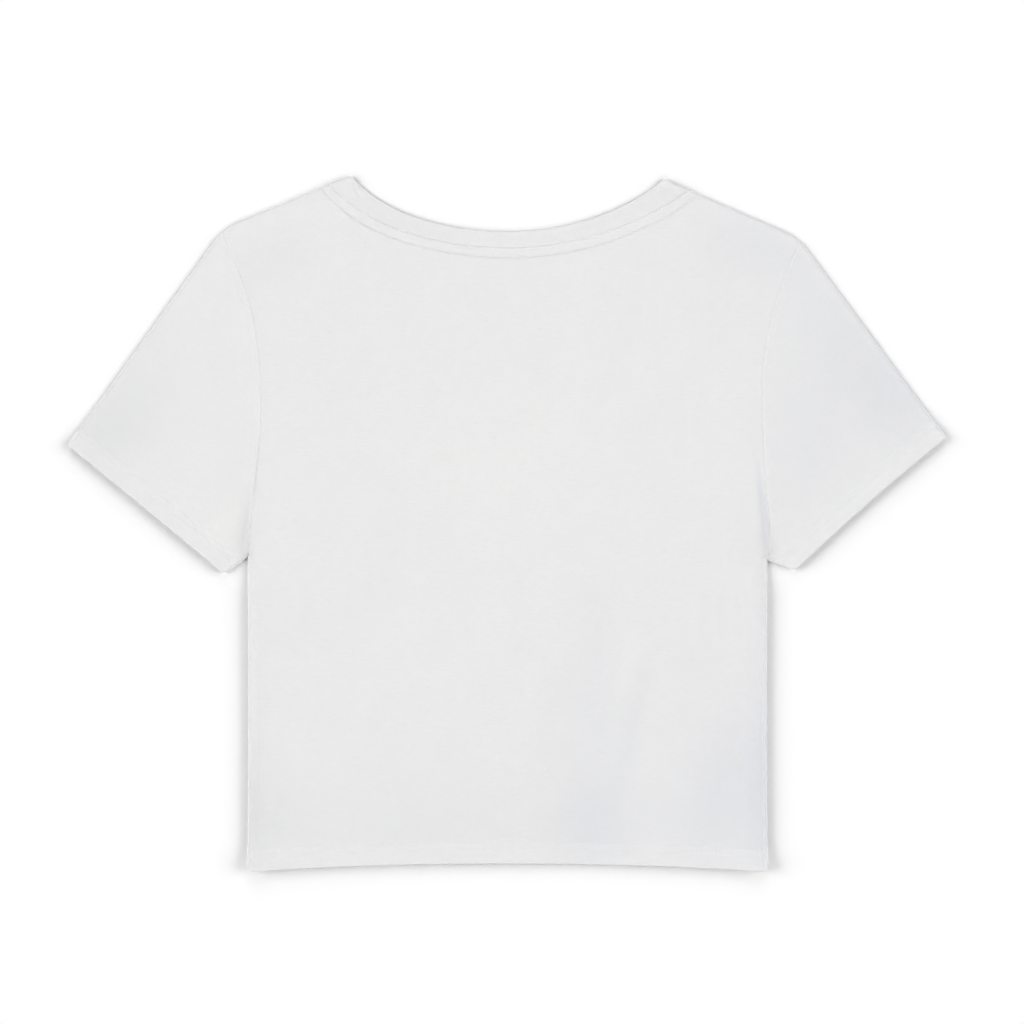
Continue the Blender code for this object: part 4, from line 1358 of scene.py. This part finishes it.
def sew(name, rows, material):
    """Rows of stitches as one piece. Each row is its points, its normals and if it closes."""
    pattern, pattern_faces = one_stitch()
    points, faces, grains = [], [], []
    for path, normals in rows:
        run = run_of(path)
        count = int(run[-1] / bpy.context.scene.shirt_sizes.stitch)
        places = (np.arange(count) + 0.5) * run[-1] / count
        at = read_at(places, run, path)
        up = unit(read_at(places, run, normals))
        way = unit(read_at(places + 0.5 * MM, run, path) - read_at(places - 0.5 * MM, run, path))
        side = unit(np.cross(up, way))
        up = np.cross(way, side)
        for k in range(count):
            start = len(pattern) * len(points)
            sway = SWAY * math.sin(SWAY_RATE * k)
            spot = pattern @ np.stack([way[k] + sway * side[k], side[k] - sway * way[k], up[k]])
            points.append(spot + at[k])
            faces.extend([[corner + start for corner in loop] for loop in pattern_faces])
            grains.append(np.stack([pattern[:, 0] + places[k], pattern[:, 1]], axis=1))
    piece = mesh_piece(name, np.concatenate(points), faces, np.concatenate(grains))
    piece.data.materials.append(material)
    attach(piece, ROOT)
    return piece


def stitch_row(plan, layers):
    """Points and normals of a row of stitches that lies in its furrow."""
    points, normals = face(plan, layers)
    proud = np.where(layers > 0.0, STITCH_PROUD, -0.5 * bpy.context.scene.shirt_sizes.thread)
    turning = np.clip(1.0 - np.abs(normals[:, 2]), 0.0, 1.0)
    proud = lerp(proud, STITCH_TURN_PROUD, turning)
    return points + normals * proud[:, None], normals


def over_and_under(upper, lower):
    """Plan and layers of a row that runs over the upper layer and comes back under the lower."""
    layers = np.concatenate([np.full(len(upper), UPPER), np.full(len(lower) - 1, LOWER)])
    return np.concatenate([upper, lower[-2::-1]]), layers


def round_the_body(above):
    """Plan and layers of a row all round the body, this far above the hem."""
    arcs = spaced(2.0 * CHEST_HALF, unturned(EDGE_STEPS), unturned(EDGE_STEPS), FINE)
    x = (arcs - CHEST_HALF) * body_half(hem_height(0.0) + above, LEFT.underarm[1] * MM) / CHEST_HALF
    row = np.stack([x, hem_height(x) + above], axis=1)
    return over_and_under(row, row)


def round_the_cuff(side, up):
    """Plan and layers of a row all round a sleeve, this far up from its cuff's edge."""
    plan = sleeve_plan(side)
    height, _ = cuff_distance(plan, side)
    row = []
    for column in range(plan.shape[1]):
        order = np.argsort(height[:, column])
        row.append(read_at(up, height[order, column], plan[order, column]))
    row = np.array(row)
    return over_and_under(row, row)


def round_the_neck():
    """Plan and layers of the row below the neckband's seam, all round the neck."""
    folds = [on_fold(side, side.root + TOPSTITCH / MM) for side in SIDES]
    halves = []
    for seam in (BACK_SEAM_PATH, FRONT_SEAM_PATH):
        run = spaced(length_of(seam), EDGE_STEPS, EDGE_STEPS, FINE)
        halves.append(bend_ends(along(seam, run, -TOPSTITCH), run, *folds))
    return over_and_under(*halves)


# ---------------------------------------------------------------- shaders
class Wire:
    """One output of a shader's node, with the arithmetic that is used on it."""

    def __init__(self, shader, socket):
        self.shader, self.socket = shader, socket

    def math(self, operation, *values):
        return self.shader.node("ShaderNodeMath", {"operation": operation}, *values)

    def __add__(self, other):
        return self.math("ADD", self, other)

    __radd__ = __add__

    def __sub__(self, other):
        return self.math("SUBTRACT", self, other)

    def __rsub__(self, other):
        return self.math("SUBTRACT", other, self)

    def __mul__(self, other):
        return self.math("MULTIPLY", self, other)

    __rmul__ = __mul__

    def __truediv__(self, other):
        return self.math("DIVIDE", self, other)

    def __abs__(self):
        return self.math("ABSOLUTE", self)

    def wave(self):
        """1 at each whole number, and down to 0 half way between."""
        return abs(self.math("FRACT", self) * 2.0 - 1.0)


class Shader:
    """Node tree of one material."""

    def __init__(self, name):
        self.material = bpy.data.materials.new(name)
        self.material.use_nodes = True
        self.tree = self.material.node_tree
        self.surface = self.tree.nodes["Principled BSDF"]

    def node(self, kind, settings=None, *values, output=0, **named):
        """A node with its settings, then the values or wires of its sockets."""
        made = self.tree.nodes.new(kind)
        for key, value in (settings or {}).items():
            setattr(made, key, value)
        for key, value in list(enumerate(values)) + list(named.items()):
            socket = made.inputs[key if isinstance(key, int) else key.replace("_", " ")]
            self.feed(socket, value)
        return Wire(self, made.outputs[output])

    def feed(self, socket, value):
        """Set a socket to a value, or link a wire to it."""
        if isinstance(value, Wire):
            self.tree.links.new(value.socket, socket)
        else:
            socket.default_value = value

    def vector(self, x=0.0, y=0.0, z=0.0):
        return self.node("ShaderNodeCombineXYZ", None, x, y, z)

    def noise(self, place, scale, detail=2.0, roughness=0.5):
        """Noise of about 0 to 1 at a place."""
        return self.node("ShaderNodeTexNoise", None, Vector=place, Scale=scale, Detail=detail,
                         Roughness=roughness)

    def mix(self, share, first, second):
        """Colour part of the way from the first to the second."""
        made = self.tree.nodes.new("ShaderNodeMix")
        made.data_type = "RGBA"
        self.feed(made.inputs["Factor"], share)
        for socket, colour in ((made.inputs[6], first), (made.inputs[7], second)):
            self.feed(socket, colour if isinstance(colour, Wire) else (*colour, 1.0))
        return Wire(self, made.outputs[2])

    def ease(self, value, low, high):
        """0 below low and 1 above high, with a smooth way between."""
        return self.node("ShaderNodeMapRange", {"interpolation_type": "SMOOTHSTEP"}, value, low, high,
                         0.0, 1.0)

    def grain(self):
        """Places across and along the cloth, in millimetres."""
        place = self.node("ShaderNodeUVMap", {"uv_map": "grain"})
        parts = self.tree.nodes.new("ShaderNodeSeparateXYZ")
        self.feed(parts.inputs[0], place)
        return Wire(self, parts.outputs[0]) * (1.0 / MM), Wire(self, parts.outputs[1]) * (1.0 / MM)

    def attribute(self, name):
        return self.node("ShaderNodeAttribute", {"attribute_name": name}, output=2)

    def finish(self, colour, height, uneven, finish):
        """Feed the surface with a colour, a height in millimetres, and a finish with its unevenness."""
        least, more, sheen = finish
        normal = self.node("ShaderNodeBump", None, Strength=1.0, Distance=1.0, Height=height * MM)
        self.feed(self.surface.inputs["Base Color"], colour)
        self.feed(self.surface.inputs["Roughness"], least + uneven * more)
        self.feed(self.surface.inputs["Normal"], normal)
        self.surface.inputs["Specular IOR Level"].default_value = SPECULAR
        self.surface.inputs["Sheen Weight"].default_value = sheen
        self.surface.inputs["Sheen Roughness"].default_value = SHEEN_ROUGHNESS
        return self.material


def dome(wave):
    """A wave's straight slopes made round: 0 where it is 1, and 1 where it is 0."""
    return 1.0 - wave * wave


def knit(across, up, wale, course):
    """Height of plain knitted loops, 0 to 1: columns of V shapes."""
    leg = (across / wale).wave()
    rise = (up / course + leg * LOOP_LEAN).wave()
    return dome(leg) * LOOP_LEGS + dome(rise) * (1.0 - LOOP_LEGS)


def streaks(shader, across, up, rates, seed, detail=2.0, roughness=0.6):
    """Noise drawn out along the rows of loops."""
    place = shader.vector(across * rates[0], up * rates[1], seed)
    return shader.noise(place, 1.0, detail, roughness)


def drifting(shader, place, rate, width):
    """How far the columns stray from straight, in millimetres."""
    return (shader.noise(place, rate) - 0.5) * width


def slub_yarn(shader, across, up):
    """Thick and thin places of the yarn, 0 to 1: streaks along the rows of loops."""
    long_ones = streaks(shader, across, up, LONG_STREAKS, 3.0)
    short_ones = streaks(shader, across, up, SHORT_STREAKS, 9.0)
    return shader.ease(long_ones * 0.5 + short_ones * 0.5, *SLUB_RANGE)


def jersey_material():
    """White slub jersey: knitted loops, uneven yarn and a soft nap."""
    sizes, colours = bpy.context.scene.shirt_sizes, bpy.context.scene.shirt_colours
    shader = Shader("slub_jersey")
    across, up = shader.grain()
    place = shader.vector(across, up, 0.0)
    drift = drifting(shader, place, *JERSEY_DRIFT)
    loops = knit(across + drift, up + drift * 0.5, sizes.wale / MM, sizes.course / MM)
    slub = slub_yarn(shader, across, up)
    rumple = shader.noise(place, RUMPLE_RATE, 3.0, 0.55)
    lint = shader.noise(place, LINT_RATE, 2.0, 0.7)
    mottle = shader.noise(place, MOTTLE_RATE)
    dashes = shader.ease(streaks(shader, across, up, DASHES, 21.0, 1.0, 0.5), *DASH_RANGE)
    thin = (1.0 - slub) * SLUB_TONE + dashes * DASH_TONE + (mottle - 0.5) * MOTTLE_TONE
    thin = thin + lint * LINT_TONE + EVEN_TONE
    colour = shader.mix(thin, colours.jersey, colours.slub)
    # painted shade: the jersey is mixed towards the shade colours, cooler on the right
    shade = shader.mix(shader.attribute("cool"), colours.hollow, colours.cool)
    colour = shader.mix(shader.attribute("hollow") * PAINTED_SHADE_TONE + PAINTED_SHADE_BASE, colour, shade)
    colour = shader.mix(shader.attribute("doubled") * DOUBLED_TONE, colour, colours.doubled)
    height = loops * LOOP_RELIEF + slub * SLUB_RELIEF + rumple * RUMPLE_RELIEF + lint * LINT_RELIEF
    return shader.finish(colour, height, lint, CLOTH_FINISH)


def rib_material():
    """White rib of the neckband: fine raised columns across the band."""
    sizes, colours = bpy.context.scene.shirt_sizes, bpy.context.scene.shirt_colours
    shader = Shader("neck_rib")
    across, up = shader.grain()
    place = shader.vector(across, up, 0.0)
    drift = drifting(shader, place, *RIB_DRIFT)
    ridge = dome(((across + drift) / (sizes.rib / MM)).wave())
    loops = knit(across + drift, up, 0.5 * sizes.rib / MM, sizes.course / MM)
    slub = slub_yarn(shader, across, up)
    lint = shader.noise(place, LINT_RATE, 2.0, 0.7)
    # painted shade in the rib's grooves; the slub is the yarn's own
    thin = (1.0 - ridge) * RIB_GROOVE_PAINTED_SHADE + (1.0 - slub) * RIB_SLUB_TONE
    colour = shader.mix(thin, colours.rib, colours.slub)
    # painted shade at the band's free edge and from the patches
    colour = shader.mix(shader.attribute("hollow") * PAINTED_SHADE_TONE, colour, colours.hollow)
    height = ridge * RIB_RELIEF + loops * RIB_LOOP_RELIEF + slub * SLUB_RELIEF + lint * RIB_LINT_RELIEF
    return shader.finish(colour, height, lint, CLOTH_FINISH)


def thread_material():
    """White sewing thread with its twist."""
    colours = bpy.context.scene.shirt_colours
    shader = Shader("sewing_thread")
    along_it, beside = shader.grain()
    twist = (along_it * TWIST_RATES[0] + beside * TWIST_RATES[1]).wave()
    lint = shader.noise(shader.vector(along_it, beside, 0.0), 3.0)
    # painted shade in the grooves of the twist
    colour = shader.mix(twist * TWIST_PAINTED_SHADE, colours.thread, colours.slub)
    height = dome(twist) * TWIST_RELIEF + lint * LINT_RELIEF
    return shader.finish(colour, height, lint, THREAD_FINISH)


def floor_material():
    """Smooth white paper."""
    stage = bpy.context.scene.stage_settings
    shader = Shader("floor_paper")
    place = shader.node("ShaderNodeTexCoord", output=3)
    fibres = shader.noise(place, FIBRE_RATE)
    colour = shader.mix(fibres * FIBRE_TONE, stage.floor, (1.0, 1.0, 1.0))
    return shader.finish(colour, fibres * FIBRE_RELIEF, fibres, FLOOR_FINISH)


def made_once(name, make):
    """The material of this name, made the first time it is asked for."""
    return bpy.data.materials.get(name) or make()


# ---------------------------------------------------------------- operators
class SHIRT_OT_body(bpy.types.Operator):
    """Build the back and the front of the body"""

    bl_idname = "shirt.body"
    bl_label = "Body panels"

    def execute(self, context):
        jersey = made_once("slub_jersey", jersey_material)
        back = body_panel("back_panel", "back", BACK_SEAM_PATH, UPPER, jersey)
        front = body_panel("front_panel", "front", FRONT_SEAM_PATH, LOWER, jersey)
        return {"FINISHED"}


class SHIRT_OT_sleeves(bpy.types.Operator):
    """Build both sleeves"""

    bl_idname = "shirt.sleeves"
    bl_label = "Sleeves"

    def execute(self, context):
        jersey = made_once("slub_jersey", jersey_material)
        left = sleeve("left_sleeve", "sleeve_left", LEFT, jersey)
        right = sleeve("right_sleeve", "sleeve_right", RIGHT, jersey)
        return {"FINISHED"}


class SHIRT_OT_neckband(bpy.types.Operator):
    """Build the neckband"""

    bl_idname = "shirt.neckband"
    bl_label = "Neckband"

    def execute(self, context):
        rib = made_once("neck_rib", rib_material)
        band = neckband("neck_band", "neckband", rib)
        return {"FINISHED"}


class SHIRT_OT_stitches(bpy.types.Operator):
    """Sew the hem, the cuffs and the row below the neckband"""

    bl_idname = "shirt.stitches"
    bl_label = "Stitches"

    def execute(self, context):
        thread = made_once("sewing_thread", thread_material)
        needles = (NEEDLE_LOW, NEEDLE_HIGH)
        sew("hem_stitches", [stitch_row(*round_the_body(row)) for row in needles], thread)
        for name, side in (("left_cuff_stitches", LEFT), ("right_cuff_stitches", RIGHT)):
            sew(name, [stitch_row(*round_the_cuff(side, row)) for row in needles], thread)
        sew("neck_stitches", [stitch_row(*round_the_neck())], thread)
        return {"FINISHED"}


class SHIRT_OT_stage(bpy.types.Operator):
    """Lay the floor and set the lights, the backdrop and the camera"""

    bl_idname = "shirt.stage"
    bl_label = "Stage"

    def execute(self, context):
        stage = context.scene.stage_settings
        bpy.ops.object.select_all(action="DESELECT")
        bpy.ops.mesh.primitive_plane_add(size=FLOOR_SIZE, location=(0.0, 0.0, -FLOOR_DROP))
        floor = context.object
        floor.name = "floor"
        floor.data.materials.append(made_once("floor_paper", floor_material))
        light_the_stage(stage)
        place_camera(stage)
        context.scene.view_settings.view_transform = "Standard"
        context.scene.view_settings.gamma = 1.0 / stage.contrast
        return {"FINISHED"}


def light_the_stage(stage):
    """A ring of soft low lamps, and the rest of the light from all over."""
    whole = math.pi * stage.brightness / stage.floor[0]
    for lamp in LAMPS:
        light = bpy.data.lights.new(lamp.name, "SUN")
        light.energy = lamp.share * whole / math.sin(stage.rise)
        light.angle = stage.softness
        holder = bpy.data.objects.new(lamp.name, light)
        holder.rotation_euler = (stage.rise - 0.5 * math.pi, 0.0, math.radians(lamp.turn - 90.0))
        bpy.context.collection.objects.link(holder)
    world = bpy.data.worlds.new("white_room")
    bpy.context.scene.world = world
    world.use_nodes = True
    nodes, links = world.node_tree.nodes, world.node_tree.links
    seen = nodes.new("ShaderNodeLightPath")
    backdrop = nodes["Background"]
    fill = nodes.new("ShaderNodeBackground")
    chosen = nodes.new("ShaderNodeMixShader")
    rest = 1.0 - sum(lamp.share for lamp in LAMPS)
    for glow, strength in ((fill, rest * whole / math.pi), (backdrop, stage.brightness)):
        glow.inputs["Color"].default_value = (1.0, 1.0, 1.0, 1.0)
        glow.inputs["Strength"].default_value = strength
    links.new(seen.outputs["Is Camera Ray"], chosen.inputs["Fac"])
    links.new(fill.outputs[0], chosen.inputs[1])
    links.new(backdrop.outputs[0], chosen.inputs[2])
    links.new(chosen.outputs[0], nodes["World Output"].inputs["Surface"])


def place_camera(stage):
    """Look straight down on the garment."""
    camera = bpy.data.cameras.new("camera")
    camera.lens = stage.lens
    camera.clip_end = FAR_CLIP
    distance = stage.field * stage.lens / camera.sensor_width
    holder = bpy.data.objects.new("camera", camera)
    middle = np.array(VIEW_MIDDLE) - ORIGIN
    holder.location = (middle[0], middle[1], FOLD_RADIUS + distance)
    bpy.context.collection.objects.link(holder)
    bpy.context.scene.camera = holder


class SHIRT_PT_panel(bpy.types.Panel):
    """Sizes, colours and steps of the T-shirt"""

    bl_idname = "SHIRT_PT_panel"
    bl_label = "Cropped T-shirt"
    bl_space_type = "VIEW_3D"
    bl_region_type = "UI"
    bl_category = "T-shirt"

    def draw(self, context):
        for name, group in GROUPS:
            box = self.layout.box()
            for setting in group.__annotations__:
                box.prop(getattr(context.scene, name), setting)
        for operator in STEPS:
            self.layout.operator(operator.bl_idname)


STEPS = (SHIRT_OT_stage, SHIRT_OT_body, SHIRT_OT_sleeves, SHIRT_OT_neckband, SHIRT_OT_stitches)
GROUPS = (
    ("shirt_sizes", ShirtSizes),
    ("shirt_colours", ShirtColours),
    ("stage_settings", StageSettings),
)


def register():
    """Add the settings, the operators and the panel."""
    for name, group in GROUPS:
        bpy.utils.register_class(group)
        setattr(bpy.types.Scene, name, PointerProperty(type=group))
    for operator in STEPS:
        bpy.utils.register_class(operator)
    bpy.utils.register_class(SHIRT_PT_panel)


def unregister():
    """Take them away again."""
    bpy.utils.unregister_class(SHIRT_PT_panel)
    for operator in reversed(STEPS):
        bpy.utils.unregister_class(operator)
    for name, group in reversed(GROUPS):
        delattr(bpy.types.Scene, name)
        bpy.utils.unregister_class(group)


def main():
    """Build everything in order."""
    register()
    bpy.ops.shirt.stage()
    bpy.ops.shirt.body()
    bpy.ops.shirt.sleeves()
    bpy.ops.shirt.neckband()
    bpy.ops.shirt.stitches()


if __name__ == "__main__":
    main()
